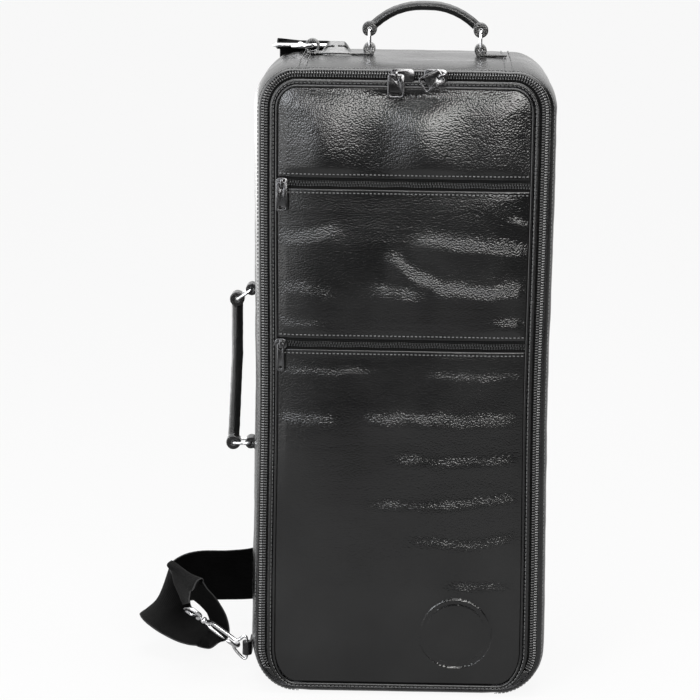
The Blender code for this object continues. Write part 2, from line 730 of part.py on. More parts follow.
def build_top_handle(finish):
    """The arched grip on the top, its two links and the leather anchors below them."""
    hole_z = BAG_HEIGHT + GAP + LOOP_OUTER
    grip_z = hole_z + TOP_LINK
    left_x = TOP_GRIP_X - TOP_GRIP_SPAN / 2
    right_x = TOP_GRIP_X + TOP_GRIP_SPAN / 2
    half = ANCHOR_WIDTH / 2
    leather = finish["leather"]

    def loop(name, x, z, outer=LOOP_OUTER, hole=LOOP_HOLE, width=ANCHOR_WIDTH):
        return leather_loop(name, (x, HANDLE_Y, z), outer, hole, width, leather)

    def strap_corners(low, high):
        return [(low, -half), (high, -half), (high, half), (low, half)]

    turn = frame_at((0.0, HANDLE_Y, BAG_HEIGHT + GAP), (1, 0, 0), (0, 1, 0))
    strap_z = BAG_HEIGHT + GAP + STRAP_LOOP_OUTER
    anchor("top_left_anchor", strap_corners(STRAP_LOOP_X - half / 2, left_x + half / 2), turn, [
        loop("left_handle_loop", left_x, hole_z),
        loop("shoulder_loop", STRAP_LOOP_X, strap_z, STRAP_LOOP_OUTER, STRAP_LOOP_HOLE, STRAP_LOOP_WIDTH),
    ], leather)
    anchor("top_right_anchor", strap_corners(right_x - half / 2, right_x + TOP_ANCHOR_TAIL), turn, [
        loop("right_handle_loop", right_x, hole_z),
    ], leather)
    for name, x in (("top_left_link", left_x), ("top_right_link", right_x)):
        link(name, (x, HANDLE_Y, hole_z), (x, HANDLE_Y, grip_z), finish["chrome"])

    inset = GRIP_LOOP_OUTER * TOP_GRIP_SUNK
    reach = TOP_GRIP_SPAN / 2 - inset
    points = []
    for x in spread(-reach, reach, 15):
        lift = TOP_GRIP_RISE * (1 - abs(x / reach) ** TOP_GRIP_FLATNESS)
        points.append(Vector((TOP_GRIP_X + x, HANDLE_Y, grip_z + inset + lift)))
    grip = place("top_handle_grip", wire(points, TOP_GRIP_RADIUS, (0, 1, 0)), leather,
                 (left_x, HANDLE_Y, grip_z))
    ends = []
    for name, x in (("grip_left_end", left_x), ("grip_right_end", right_x)):
        ends.append(loop(name, x, grip_z, GRIP_LOOP_OUTER, LOOP_HOLE, GRIP_LOOP_WIDTH))
    join_solids(grip, *ends)


def build_side_handle(finish):
    """The straight grip on the left side, which hangs down on its two links."""
    hole_x = -HALF_WIDTH - GAP - LOOP_OUTER
    slant = math.sqrt(SIDE_LINK**2 - SIDE_LINK_DROP**2)
    upper = Vector((hole_x - slant, HANDLE_Y, SIDE_UPPER_Z - SIDE_LINK_DROP))
    lower = Vector((hole_x - SIDE_LINK, HANDLE_Y, SIDE_LOWER_Z))
    leather = finish["leather"]
    half = ANCHOR_WIDTH / 2
    turn = frame_at((-HALF_WIDTH - GAP, HANDLE_Y, 0.0), (0, 1, 0), (0, 0, -1))
    for name, z, low, high in (
        ("side_upper", SIDE_UPPER_Z, SIDE_UPPER_Z - half / 2, SIDE_UPPER_Z + SIDE_ANCHOR_TAIL),
        ("side_lower", SIDE_LOWER_Z, SIDE_LOWER_Z - SIDE_ANCHOR_TAIL, SIDE_LOWER_Z + half / 2),
    ):
        corners = [(-half, -low), (half, -low), (half, -high), (-half, -high)]
        hole = (hole_x, HANDLE_Y, z)
        held = leather_loop(name + "_loop", hole, LOOP_OUTER, LOOP_HOLE, ANCHOR_WIDTH, leather)
        anchor(name + "_anchor", corners, turn, [held], leather)
    link("side_upper_link", (hole_x, HANDLE_Y, SIDE_UPPER_Z), upper, finish["chrome"])
    link("side_lower_link", (hole_x, HANDLE_Y, SIDE_LOWER_Z), lower, finish["chrome"])

    fall = (lower - upper).normalized()
    inset = GRIP_LOOP_OUTER * SIDE_GRIP_SUNK
    start, end = upper + fall * inset, lower - fall * inset
    points = []
    for share in spread(0.0, 1.0, 9):
        bow = SIDE_GRIP_BOW * math.sin(math.pi * share)
        points.append(start.lerp(end, share) + Vector((bow, 0.0, 0.0)))
    grip = place("side_handle_grip", wire(points, SIDE_GRIP_RADIUS, (0, 1, 0)), leather, upper)
    ends = []
    for name, centre in (("side_grip_top", upper), ("side_grip_base", lower)):
        ends.append(leather_loop(name, centre, GRIP_LOOP_OUTER, LOOP_HOLE, GRIP_LOOP_WIDTH, leather))
    join_solids(grip, *ends)


def snap_hook(name, bar, along, across, hook_side, finish, gate_side, shift=0.0):
    """A swivel snap hook: the webbing's eye on its bar, then the hook and its gate along the pull."""
    bar, along, across = Vector(bar), Vector(along).normalized(), Vector(across).normalized()
    flat = along.cross(across)
    half = WEBBING_WIDTH / 2 + EYE_SPARE
    eye_points = [
        bar + along * (a + EYE_LENGTH / 2) + across * b
        for a, b in round_box(EYE_LENGTH, 2 * half, 2 * EYE_WIRE, 2)
    ]
    eye = place(name + "_eye", wire(eye_points, EYE_WIRE, flat, closed=True), finish)
    neck = bar + across * shift
    barrel = cylinder(name + "_barrel", neck, along, EYE_LENGTH, SWIVEL_RADIUS, SWIVEL_LENGTH, finish)
    join_solids(eye, barrel)

    start = EYE_LENGTH + SWIVEL_LENGTH + GAP
    hook_side = Vector(hook_side)
    out = along.cross(hook_side)
    path = []
    reach = HOOK_WIDTH / 2
    for a, b in (
        (start + SWIVEL_LENGTH / 2, 0.0), (start + HOOK_NECK * 0.8, 0.0),
        (start + HOOK_NECK * 1.15, 0.35), (start + HOOK_NECK * 1.5, 0.85), (start + HOOK_NECK * 2.0, 1.0),
    ):
        path.append(neck + along * a + hook_side * gate_side * reach * b)
    bend = start + HOOK_LENGTH - reach
    for step in range(9):
        turn = math.radians(180.0 * step / 8)
        off = hook_side * gate_side * reach * math.cos(turn)
        path.append(neck + along * (bend + reach * math.sin(turn)) + off)
    path.append(neck + along * (start + HOOK_MOUTH[1]) - hook_side * gate_side * reach)
    hook = place(name, wire(path, HOOK_WIRE, out), finish, neck)
    head = cylinder(name + "_head", neck, along, start, SWIVEL_RADIUS, SWIVEL_LENGTH, finish)
    join_solids(hook, head)

    root = neck + along * (start + HOOK_MOUTH[0] - HOOK_NECK) - hook_side * gate_side * reach * 0.35
    low = neck + along * (start + HOOK_MOUTH[0] - HOOK_NECK * 0.4) - hook_side * gate_side * reach
    tip = neck + along * (start + HOOK_MOUTH[1] - 2 * GAP) - hook_side * gate_side * reach
    place(name + "_gate", wire([root, low, tip], GATE_WIRE, out), finish, low)
    return neck


def cylinder(name, centre, along, start, radius, length, finish):
    """A short round barrel on a line."""
    side = along.orthogonal().normalized()
    turn = frame_at(Vector(centre) + along * start, side, along.cross(side))
    return place(name, slab([circle(radius, 12)], length, turn), finish)


def build_ring(nose, along, across, finish):
    """The ring that the lower hook holds, and the leather tab that holds it on the side."""
    reach = RING_WIRE + 2 * GAP + ANCHOR_LEATHER
    wall = -HALF_WIDTH - GAP - reach
    low, high = RING_BAR
    middle = (low + high) / 2
    y = nose.y
    lower = [(wall - out, y, low - past) for out, past in RING_SHOULDER]
    upper = [(wall - out, y, high + past) for out, past in reversed(RING_SHOULDER)]
    bar = [(wall, y, z) for z in (low, middle, high)]
    points = [Vector(p) for p in lower + bar + upper]
    for side in (1, -1):
        corner = nose + along * RING_NOSE / 2 + across * side * RING_NOSE
        straight = nose + across * side * RING_NOSE / 2
        points += (corner, straight) if side == 1 else (straight, corner)
    place("lower_ring", wire(points, RING_WIRE, (0, 1, 0), closed=True), finish["chrome"], (wall, y, middle))

    half = RING_TAB_WIDTH / 2
    tube = slab([circle(reach, 16), circle(RING_WIRE + 2 * GAP, 12)], RING_TAB_WIDTH,
                frame_at((wall, y, middle - half), (1, 0, 0), (0, 1, 0)))
    fold = place("ring_fold", tube, finish["leather"])
    turn = frame_at((-HALF_WIDTH - GAP, y, middle), (0, 1, 0), (0, 0, -1))
    anchor("ring_tab", [(0.0, -half), (RING_TAB_TAIL, -half), (RING_TAB_TAIL, half), (0.0, half)], turn,
           [fold], finish["leather"])


def upper_hook_line():
    """Directions of the upper hook: along its pull, and along the bar that holds the webbing."""
    rim = Vector((STRAP_LOOP_X, HANDLE_Y, BAG_HEIGHT + GAP + STRAP_LOOP_OUTER))
    sideways = Vector((1.0, 0.0, 0.0))
    neck = Vector(UPPER_BAR) + sideways * UPPER_HOOK_SHIFT
    along = (rim - sideways * HOOK_WIDTH / 2 - neck).normalized()
    return along, (sideways - along * sideways.dot(along)).normalized()


def strap_route():
    """Centres and width directions of the webbing, from its sewn end to the lower hook."""
    x = UPPER_BAR[0]
    bar = Vector(UPPER_BAR)
    turn = EYE_WIRE + GAP * 2 + WEBBING / 2
    wide = Vector((1.0, 0.0, 0.0))
    along, across = upper_hook_line()
    up = across.cross(-along)
    rows = [
        (bar - along * 0.026 - up * (turn - 0.0012), across),
        (bar - along * 0.014 - up * (turn - 0.0007), across),
    ]
    for step in range(7):
        angle = math.radians(-75 - 40 * step)
        rows.append((bar - along * turn * math.cos(angle) + up * turn * math.sin(angle), across))
    top, back, side = BAG_HEIGHT, BACK + BACK_CROWN, -HALF_WIDTH
    rows += [
        ((x, UPPER_BAR[1] + 0.012, top + 0.0050), wide), ((x, back - 0.0125, top + 0.0032), wide),
        ((x, back - 0.0020, top + 0.0005), wide), ((x, back + 0.0030, top - 0.008), wide),
        ((x, back + 0.0040, top - 0.029), wide), ((x, back + 0.0045, top - 0.074), wide),
    ]
    rows += [((side + a, back + b, z), w) for a, b, z, w in (
        (0.0400, 0.0065, 0.440, wide), (0.0415, 0.0115, 0.380, (0.97, 0.25, 0.0)),
        (0.0455, 0.0205, 0.310, (0.74, 0.67, 0.0)), (0.0495, 0.0295, 0.240, (0.3, 0.95, 0.0)),
        (0.0515, 0.0335, 0.170, (0.05, 1.0, 0.0)), (0.0500, 0.0335, 0.115, (0.0, 1.0, 0.0)),
        (0.0360, 0.0325, 0.078, (0.05, 0.95, 0.25)), (0.0140, 0.0295, 0.060, (0.05, 0.7, 0.7)),
        (-0.0090, 0.0245, 0.054, (0.0, 0.2, 0.98)), (-0.0360, 0.0155, 0.054, (0.05, 0.0, 1.0)),
        (-0.0620, 0.0015, 0.057, (0.1, 0.0, 1.0)), (-0.0800, -0.0145, 0.057, (0.25, 0.08, 0.95)),
        (-0.0910, -0.0365, 0.056, (0.34, 0.25, 0.90)), (-0.0940, -0.0565, 0.052, (0.36, 0.45, 0.80)),
        (-0.0860, -0.0710, 0.041, (0.34, 0.72, 0.58)), (-0.0730, -0.0780, 0.030, (0.30, 0.88, 0.32)),
        (-0.0600, -0.0820, 0.023, (0.18, 0.95, 0.18)), (-0.0495, -0.0840, 0.021, (0.02, 0.99, 0.08)),
        (-0.0430, -0.0865, 0.026, (-0.20, 0.97, 0.05)), (-0.0410, -0.0905, 0.036, (-0.42, 0.90, 0.06)),
    )]
    rows += [(Vector(LOWER_BAR) + Vector(p), w) for p, w in (
        ((0.0175, 0.0550, -0.0200), (-0.60, 0.79, 0.08)), ((0.0130, 0.0430, -0.0060), (-0.70, 0.70, 0.08)),
        ((0.0080, 0.0290, 0.0100), (-0.68, 0.72, 0.10)), ((0.0030, 0.0155, 0.0240), (-0.62, 0.78, 0.12)),
        ((-0.0002, 0.0085, 0.0315), (-0.57, 0.81, 0.13)), ((-0.0030, 0.0050, 0.0335), (-0.57, 0.81, 0.13)),
        ((-0.0051, 0.0032, 0.0300), (-0.54, 0.83, 0.08)), ((-0.0055, 0.0036, 0.0210), (-0.40, 0.91, -0.10)),
        ((-0.0035, 0.0025, 0.0109), (-0.26, 0.93, -0.25)), ((-0.0014, 0.0010, 0.0044), LOWER_BAR_TURN),
    )]
    return [(Vector(p), Vector(w).normalized()) for p, w in rows]


def smooth_route(rows, steps):
    """Reads a smooth curve through the route, with its width direction turning steadily."""
    points, sides = [], []
    for i in range(len(rows) - 1):
        before, here = rows[max(i - 1, 0)], rows[i]
        ahead, after = rows[i + 1], rows[min(i + 2, len(rows) - 1)]
        for step in range(steps):
            t = step / steps
            points.append(curve_point(before[0], here[0], ahead[0], after[0], t))
            sides.append(curve_point(before[1], here[1], ahead[1], after[1], t).normalized())
    points.append(rows[-1][0])
    sides.append(rows[-1][1])
    return points, sides


def curve_point(a, b, c, d, t):
    """A point between b and c on the smooth curve through four points."""
    return 0.5 * (2 * b + (c - a) * t + (2 * a - 5 * b + 4 * c - d) * t**2 + (3 * b - 3 * c + d - a) * t**3)


def build_strap(finish):
    """The shoulder strap: upper hook in the leather loop, webbing, lower hook on its ring."""
    chrome = finish["chrome"]
    along, across = upper_hook_line()
    snap_hook("upper_hook", UPPER_BAR, along, across, across, chrome, 1.0, UPPER_HOOK_SHIFT)

    fall = math.radians(LOWER_HOOK_FALL)
    along = Vector((math.cos(fall), 0.0, -math.sin(fall)))
    across = Vector((math.sin(fall), 0.0, math.cos(fall)))
    neck = snap_hook("lower_hook", LOWER_BAR, along, LOWER_BAR_TURN, (0.0, -1.0, 0.0), chrome, -1.0)
    tip = neck + along * (EYE_LENGTH + SWIVEL_LENGTH + GAP + HOOK_LENGTH)

    nose = tip - along * (HOOK_WIRE + RING_WIRE + 3 * GAP)
    build_ring(nose, along, across, finish)

    route, sides = smooth_route(strap_route(), 2)
    place("shoulder_strap", sweep(route, sides, WEBBING_WIDTH, WEBBING), finish["webbing"])


def build_bag():
    """Puts the whole bag together."""
    clear_scene()
    finish = {
        "leather": material("black_leather", (0.020, 0.020, 0.021), 0.36),
        "foam": material("grey_foam", (0.16, 0.16, 0.17), 0.9),
        "plush": material("grey_plush", (0.07, 0.07, 0.08), 0.95),
        "zip": material("zip_coil", (0.03, 0.03, 0.03), 0.5),
        "webbing": material("black_webbing", (0.012, 0.012, 0.012), 0.85),
        "dark_metal": material("gunmetal", (0.06, 0.06, 0.06), 0.35, 1.0),
        "chrome": material("bright_chrome", (0.75, 0.75, 0.76), 0.15, 1.0),
    }
    build_body(finish)
    build_inside(finish)
    build_lid(finish)
    build_sliders(finish)
    build_top_handle(finish)
    build_side_handle(finish)
    build_strap(finish)


build_bag()
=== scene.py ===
import math

import bmesh
import bpy
from mathutils import Matrix, Vector, noise


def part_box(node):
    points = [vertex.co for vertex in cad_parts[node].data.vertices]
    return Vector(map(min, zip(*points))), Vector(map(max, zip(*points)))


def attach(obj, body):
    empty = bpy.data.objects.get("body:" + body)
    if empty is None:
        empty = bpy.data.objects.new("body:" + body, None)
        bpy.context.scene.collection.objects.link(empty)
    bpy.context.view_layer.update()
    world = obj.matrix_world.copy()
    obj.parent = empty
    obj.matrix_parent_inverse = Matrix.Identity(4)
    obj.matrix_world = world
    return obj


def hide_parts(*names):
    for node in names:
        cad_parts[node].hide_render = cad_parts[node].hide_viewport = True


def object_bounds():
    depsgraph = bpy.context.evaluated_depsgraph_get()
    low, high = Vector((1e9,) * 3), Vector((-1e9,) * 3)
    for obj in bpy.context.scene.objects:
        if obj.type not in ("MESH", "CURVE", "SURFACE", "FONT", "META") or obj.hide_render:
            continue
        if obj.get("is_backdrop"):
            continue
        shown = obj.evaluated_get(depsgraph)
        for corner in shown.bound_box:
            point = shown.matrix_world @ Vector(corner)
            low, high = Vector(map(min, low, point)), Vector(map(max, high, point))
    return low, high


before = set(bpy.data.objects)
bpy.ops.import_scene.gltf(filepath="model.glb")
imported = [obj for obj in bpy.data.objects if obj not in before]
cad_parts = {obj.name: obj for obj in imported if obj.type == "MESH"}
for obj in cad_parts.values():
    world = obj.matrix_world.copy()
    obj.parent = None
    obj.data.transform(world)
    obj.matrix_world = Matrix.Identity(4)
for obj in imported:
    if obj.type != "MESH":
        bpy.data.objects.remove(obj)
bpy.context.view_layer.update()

# The view
# The photograph looks at the bag from just above the lid's middle through a long lens, a little
# right of centre, with the frame turned by under a degree.
AIM = Vector((0.0, 0.0, 0.287))
VIEW_ELEVATION = math.radians(10.95)
VIEW_AZIMUTH = math.radians(0.5)
VIEW_ROLL = math.radians(0.85)
VIEW_DISTANCE = 2.625
FOCAL_PIXELS = 2832.0
FRAME_PIXELS = 700.0
MIDDLE_PIXEL = (402.1, 366.5)
SENSOR = 36.0


def set_camera():
    """Stands the camera where the photograph was taken from."""
    data = bpy.data.cameras.new("camera")
    data.sensor_width = SENSOR
    data.lens = FOCAL_PIXELS / FRAME_PIXELS * SENSOR
    data.shift_x = (FRAME_PIXELS / 2 - MIDDLE_PIXEL[0]) / FRAME_PIXELS
    data.shift_y = (MIDDLE_PIXEL[1] - FRAME_PIXELS / 2) / FRAME_PIXELS
    back = Vector((
        math.sin(VIEW_AZIMUTH) * math.cos(VIEW_ELEVATION),
        -math.cos(VIEW_AZIMUTH) * math.cos(VIEW_ELEVATION),
        math.sin(VIEW_ELEVATION),
    ))
    level = Vector((math.cos(VIEW_AZIMUTH), math.sin(VIEW_AZIMUTH), 0.0))
    upright = back.cross(level)
    right = level * math.cos(VIEW_ROLL) + upright * math.sin(VIEW_ROLL)
    up = upright * math.cos(VIEW_ROLL) - level * math.sin(VIEW_ROLL)
    camera = bpy.data.objects.new("camera", data)
    turn = Matrix((right, up, back)).transposed().to_4x4()
    camera.matrix_world = Matrix.Translation(AIM + back * VIEW_DISTANCE) @ turn
    bpy.context.scene.collection.objects.link(camera)
    bpy.context.scene.camera = camera


set_camera()

# The studio
# A pale floor in a room that is white behind the bag and dim behind the camera, with two soft
# boxes high in front and one overhead. They show as glints on the grain of the black leather.
# The floor shows its full pale colour only to the camera: to every other ray it carries a painted
# shade that darkens it towards the front, and left of the bag it has a painted glow in reflections.
FLOOR_HALF = 12.0
# Painted shade: for every ray but the camera's, the floor's colour falls from FLOOR_LIT to SHADED towards the front of
# the bag.
SHADE_START, SHADE_END = -0.72, -1.9
SHADED = 0.03
FLOOR_COLOUR = (0.88, 0.88, 0.88)
FLOOR_SHOWN = 0.90
FLOOR_GLOW = 0.58
FLOOR_LIT = 0.70
# Painted glow: left of the bag the floor glows this bright, seen only in reflections.
PAINTED_LEFT_GLOW = 5.5
ROOM_GREY = 0.22
DIM_ROOM = 0.03
CEILING = 4.6
LEFT_WALL = 4.5
PALE_SIDE = (-0.45, 1.0, 0.0)
LAMPS = (
    ("right_box", (0.62, -2.75, 1.12), (1.35, 0.80), 50.0, (1.0, 0.99, 0.97)),
    ("left_box", (-1.15, -2.50, 1.15), (0.80, 1.10), 36.0, (0.93, 0.96, 1.0)),
    ("top_box", (0.1, -0.3, 2.6), (1.8, 1.2), 26.0, (1.0, 1.0, 1.0)),
)


def add(tree, kind, inputs=None, **settings):
    """A node with its settings, and each input either set to a value or linked to an output."""
    node = tree.nodes.new(kind)
    for name, value in settings.items():
        setattr(node, name, value)
    for name, value in (inputs or {}).items():
        if isinstance(value, bpy.types.NodeSocket):
            tree.links.new(value, node.inputs[name])
        else:
            node.inputs[name].default_value = value
    return node


def ramp(tree, value, low, high, to_low=0.0, to_high=1.0):
    """Maps a value from one range onto another, held at both ends."""
    return add(tree, "ShaderNodeMapRange", {
        "Value": value, "From Min": low, "From Max": high, "To Min": to_low, "To Max": to_high,
    }).outputs["Result"]


def mixed(tree, factor, first, second):
    """A colour between two others."""
    mix = add(tree, "ShaderNodeMix", data_type="RGBA")
    tree.links.new(factor, mix.inputs["Factor"])
    for name, colour in (("A", first), ("B", second)):
        socket = [s for s in mix.inputs if s.name == name and s.type == "RGBA"][0]
        socket.default_value = (*colour, 1.0)
    return [s for s in mix.outputs if s.type == "RGBA"][0]


def seen_ray(tree):
    """One for a camera, mirror or glass ray, and nought for the rays that light the object."""
    path = add(tree, "ShaderNodeLightPath")
    seen = add(tree, "ShaderNodeMath", {0: path.outputs["Is Camera Ray"], 1: path.outputs["Is Glossy Ray"]},
               operation="ADD")
    return add(tree, "ShaderNodeMath", {0: seen.outputs[0], 1: path.outputs["Is Transmission Ray"]},
               operation="ADD", use_clamp=True).outputs[0]


def set_studio():
    """The floor, the room's light and the lamps."""
    scene = bpy.context.scene
    scene.view_settings.view_transform = "Standard"
    mesh = bpy.data.meshes.new("floor")
    h = FLOOR_HALF
    mesh.from_pydata([(-h, -h, 0), (h, -h, 0), (h, h, 0), (-h, h, 0)], [], [(0, 1, 2, 3)])
    floor = bpy.data.objects.new("floor", mesh)
    scene.collection.objects.link(floor)
    pale = bpy.data.materials.new("pale_floor")
    pale.use_nodes = True
    tree = pale.node_tree
    shader = tree.nodes["Principled BSDF"]
    place = add(tree, "ShaderNodeTexCoord").outputs["Object"]
    place = add(tree, "ShaderNodeSeparateXYZ", {0: place})
    # Painted shade: the floor's colour and glow darken towards the front for every ray but the camera's, which sees
    # the floor pale.
    lit = ramp(tree, place.outputs["Y"], SHADE_END, SHADE_START, SHADED, FLOOR_LIT)
    camera_ray = add(tree, "ShaderNodeLightPath").outputs["Is Camera Ray"]
    unseen = add(tree, "ShaderNodeMath", {0: 1.0, 1: camera_ray}, operation="SUBTRACT").outputs[0]
    # Painted glow: the floor left of the bag glows for reflected rays only.
    beside = ramp(tree, place.outputs["X"], -0.85, -1.25, 0.0, PAINTED_LEFT_GLOW)
    beside = add(tree, "ShaderNodeMath", {0: beside, 1: unseen}, operation="MULTIPLY").outputs[0]
    lit = add(tree, "ShaderNodeMath", {0: lit, 1: camera_ray}, operation="MAXIMUM").outputs[0]
    tree.links.new(mixed(tree, lit, (0.0, 0.0, 0.0), FLOOR_COLOUR), shader.inputs["Base Color"])
    shader.inputs["Roughness"].default_value = 0.9
    strength = add(tree, "ShaderNodeMath", {0: lit, 1: beside}, operation="MAXIMUM").outputs[0]
    glow = add(tree, "ShaderNodeEmission", {"Color": (1, 1, 1, 1), "Strength": strength})
    mirrored = add(tree, "ShaderNodeMath", {0: seen_ray(tree), 1: FLOOR_GLOW}, operation="MULTIPLY").outputs[0]
    shown = add(tree, "ShaderNodeMath", {0: camera_ray, 1: FLOOR_SHOWN}, operation="MULTIPLY").outputs[0]
    share = add(tree, "ShaderNodeMath", {0: mirrored, 1: shown}, operation="MAXIMUM").outputs[0]
    mix = add(tree, "ShaderNodeMixShader", {0: share, 1: shader.outputs[0], 2: glow.outputs[0]})
    tree.links.new(mix.outputs[0], tree.nodes["Material Output"].inputs["Surface"])
    mesh.materials.append(pale)
    floor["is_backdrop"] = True

    world = bpy.data.worlds.new("room")
    scene.world = world
    world.use_nodes = True
    tree = world.node_tree
    tree.nodes.clear()
    way = add(tree, "ShaderNodeTexCoord").outputs["Generated"]
    split = add(tree, "ShaderNodeSeparateXYZ", {0: way})
    toward = add(tree, "ShaderNodeVectorMath", {0: way, 1: PALE_SIDE}, operation="DOT_PRODUCT").outputs["Value"]
    shade = ramp(tree, toward, 0.0, 0.45, DIM_ROOM, 1.0)
    above = ramp(tree, split.outputs["Z"], 0.50, 0.72, 0.0, CEILING)
    shade = add(tree, "ShaderNodeMath", {0: shade, 1: above}, operation="MAXIMUM").outputs[0]
    beside = ramp(tree, split.outputs["X"], -0.60, -0.85, 0.0, LEFT_WALL)
    shade = add(tree, "ShaderNodeMath", {0: shade, 1: beside}, operation="MAXIMUM").outputs[0]
    camera_ray = add(tree, "ShaderNodeLightPath").outputs["Is Camera Ray"]
    shown = add(tree, "ShaderNodeMath", {0: shade, 1: camera_ray}, operation="MAXIMUM").outputs[0]
    grey = add(tree, "ShaderNodeBackground", {"Color": (1, 1, 1, 1), "Strength": ROOM_GREY})
    white = add(tree, "ShaderNodeBackground", {"Color": (1, 1, 1, 1), "Strength": shown})
    mix = add(tree, "ShaderNodeMixShader", {0: seen_ray(tree), 1: grey.outputs[0], 2: white.outputs[0]})
    add(tree, "ShaderNodeOutputWorld", {"Surface": mix.outputs[0]})

    for name, place, size, power, tint in LAMPS:
        light = bpy.data.lights.new(name, "AREA")
        light.shape = "RECTANGLE"
        light.size, light.size_y = size
        light.energy = power
        light.color = tint
        lamp = bpy.data.objects.new(name, light)
        lamp.location = place
        lamp.rotation_euler = (AIM - Vector(place)).to_track_quat("-Z", "Y").to_euler()
        scene.collection.objects.link(lamp)


set_studio()

# Gussets
# Four black leathers wrap the sides, top and base. Each one is crowned, turned in at both edges,
# sewn to its neighbours at four corner seams, and stitched beside the zip.
HALF_WIDTH = -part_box("left_gusset")[0].x
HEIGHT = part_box("top_gusset")[1].z
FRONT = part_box("left_gusset")[0].y
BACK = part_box("left_gusset")[1].y
SEAM_X = -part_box("left_gusset")[1].x
TOP_CORNER = 0.040
BASE_CORNER = 0.043
SIDE_STEPS = 100
TOP_STEPS = 60
CORNER_STEPS = 18
SIDE_DRAW = 0.0025
LIP_INSET = 0.0057
HIDE = 0.0016
WAIST = 0.015
WAIST_Z = 0.275
WAIST_SPAN = 0.125
SWELL = 0.0075
PUCKER = 0.0005
LEATHER_BLACK = (0.0038, 0.0038, 0.0039)
LEATHER_WORN = (0.0080, 0.0080, 0.0080)
LOOSE_EDGE = (
    (0.0057, 0.0057, 0.0000), (0.0052, 0.0050, 0.0001), (0.0047, 0.0042, 0.0008), (0.0043, 0.0032, 0.0020),
    (0.0038, 0.0020, 0.0040), (0.0031, 0.0010, 0.0080), (0.0023, 0.0004, 0.0140), (0.0014, 0.0001, 0.0230),
    (0.0007, 0.0000, 0.0340), (0.0002, 0.0000, 0.0480),
)
TIGHT_EDGE = (
    (0.0057, 0.0057, 0.0000), (0.0049, 0.0048, -0.0002), (0.0040, 0.0037, 0.0002), (0.0032, 0.0026, 0.0012),
    (0.0025, 0.0017, 0.0027), (0.0018, 0.0010, 0.0050), (0.0012, 0.0005, 0.0085), (0.0007, 0.0001, 0.0140),
    (0.0004, 0.0000, 0.0220), (0.0001, 0.0000, 0.0480),
)
LIP_ROW = 4
MIDDLE_ROWS = 20


def arc(centre_x, centre_z, radius_x, radius_z, start, count):
    """Points of a quarter turn clockwise round a corner, from a start angle in degrees."""
    points = []
    for step in range(count + 1):
        turn = math.radians(start - 90.0 * step / count)
        points.append((centre_x + radius_x * math.cos(turn), centre_z + radius_z * math.sin(turn)))
    return points


def drawn(inset):
    """The side inset that goes with an inset from the top: the sides bulge wider past the lip."""
    return inset + SIDE_DRAW * min(max(inset, 0.0) / LIP_INSET, 1.0)


def rim(inset, base_inset, part, drawing=drawn):
    """The bag's front outline, drawn in by the insets: its left, top, right or base stretch."""
    top_x, base_x = HALF_WIDTH - TOP_CORNER, HALF_WIDTH - BASE_CORNER
    top_z = HEIGHT - TOP_CORNER
    across = drawing(inset)
    if part == "left":
        side = across - HALF_WIDTH
        points = [(-SEAM_X, base_inset)]
        points += arc(-base_x, BASE_CORNER, BASE_CORNER - across, BASE_CORNER - base_inset, 270, CORNER_STEPS)
        for step in range(1, SIDE_STEPS):
            points.append((side, BASE_CORNER + (top_z - BASE_CORNER) * step / SIDE_STEPS))
        points += arc(-top_x, top_z, TOP_CORNER - across, TOP_CORNER - inset, 180, CORNER_STEPS)
        return points + [(-SEAM_X, HEIGHT - inset)]
    if part == "right":
        return [(-x, z) for x, z in reversed(rim(inset, base_inset, "left", drawing))]
    line = [-SEAM_X + 2 * SEAM_X * step / TOP_STEPS for step in range(TOP_STEPS + 1)]
    if part == "top":
        return [(x, HEIGHT - inset) for x in line]
    return [(x, base_inset) for x in reversed(line)]


def whole_rim(inset, base_inset, drawing=drawn):
    """The outline all the way round, with no point twice."""
    points = []
    for part in ("left", "top", "right", "base"):
        points += rim(inset, base_inset, part, drawing)[:-1]
    return points


def give(point):
    """The standing bag's slight waist: its sides draw in at mid height and swell at the ends."""
    x, y, z = point
    drawn = WAIST * math.exp(-((z - WAIST_Z) / WAIST_SPAN) ** 2)
    return Vector((x * (1.0 + SWELL - drawn), y, z))


def skin(name, rows, ring=False, layers=None, raised=None):
    """A closed mesh over rows of section points, capped at its ends unless the rows form a ring."""
    bm = bmesh.new()
    weave = bm.verts.layers.float_vector.new("weave") if layers else None
    lifted = bm.verts.layers.float.new("raised") if raised else None
    verts = [[bm.verts.new(p) for p in row] for row in rows]
    count = len(verts[0])
    for i in range(len(verts) if ring else len(verts) - 1):
        here, there = verts[i], verts[(i + 1) % len(verts)]
        for k in range(count):
            n = (k + 1) % count
            bm.faces.new((here[k], here[n], there[n], there[k]))
    if not ring:
        bm.faces.new(verts[0])
        bm.faces.new(list(reversed(verts[-1])))
    if layers:
        for row, marks in zip(verts, layers):
            for vert, mark in zip(row, marks):
                vert[weave] = mark
    if raised:
        for row, marks in zip(verts, raised):
            for vert, mark in zip(row, marks):
                vert[lifted] = mark
    return finished(name, bm)


def finished(name, bm, sharp=50.0):
    """An object from a closed bmesh, facing outwards and smoothly shaded."""
    bmesh.ops.recalc_face_normals(bm, faces=bm.faces)
    if bm.calc_volume(signed=True) < 0.0:
        bmesh.ops.reverse_faces(bm, faces=bm.faces)
    mesh = bpy.data.meshes.new(name)
    bm.to_mesh(mesh)
    bm.free()
    mesh.shade_smooth()
    mesh.set_sharp_from_angle(angle=math.radians(sharp))
    piece = bpy.data.objects.new(name, mesh)
    bpy.context.scene.collection.objects.link(piece)
    return piece


def sew_in(piece, finish, body, slot, *nodes):
    """Gives a piece its material, fixes it to the body, and hides the nodes that it stands for."""
    piece.data.materials.clear()
    piece.data.materials.append(finish)
    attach(piece, body)
    if nodes:
        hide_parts(*nodes)
    return piece


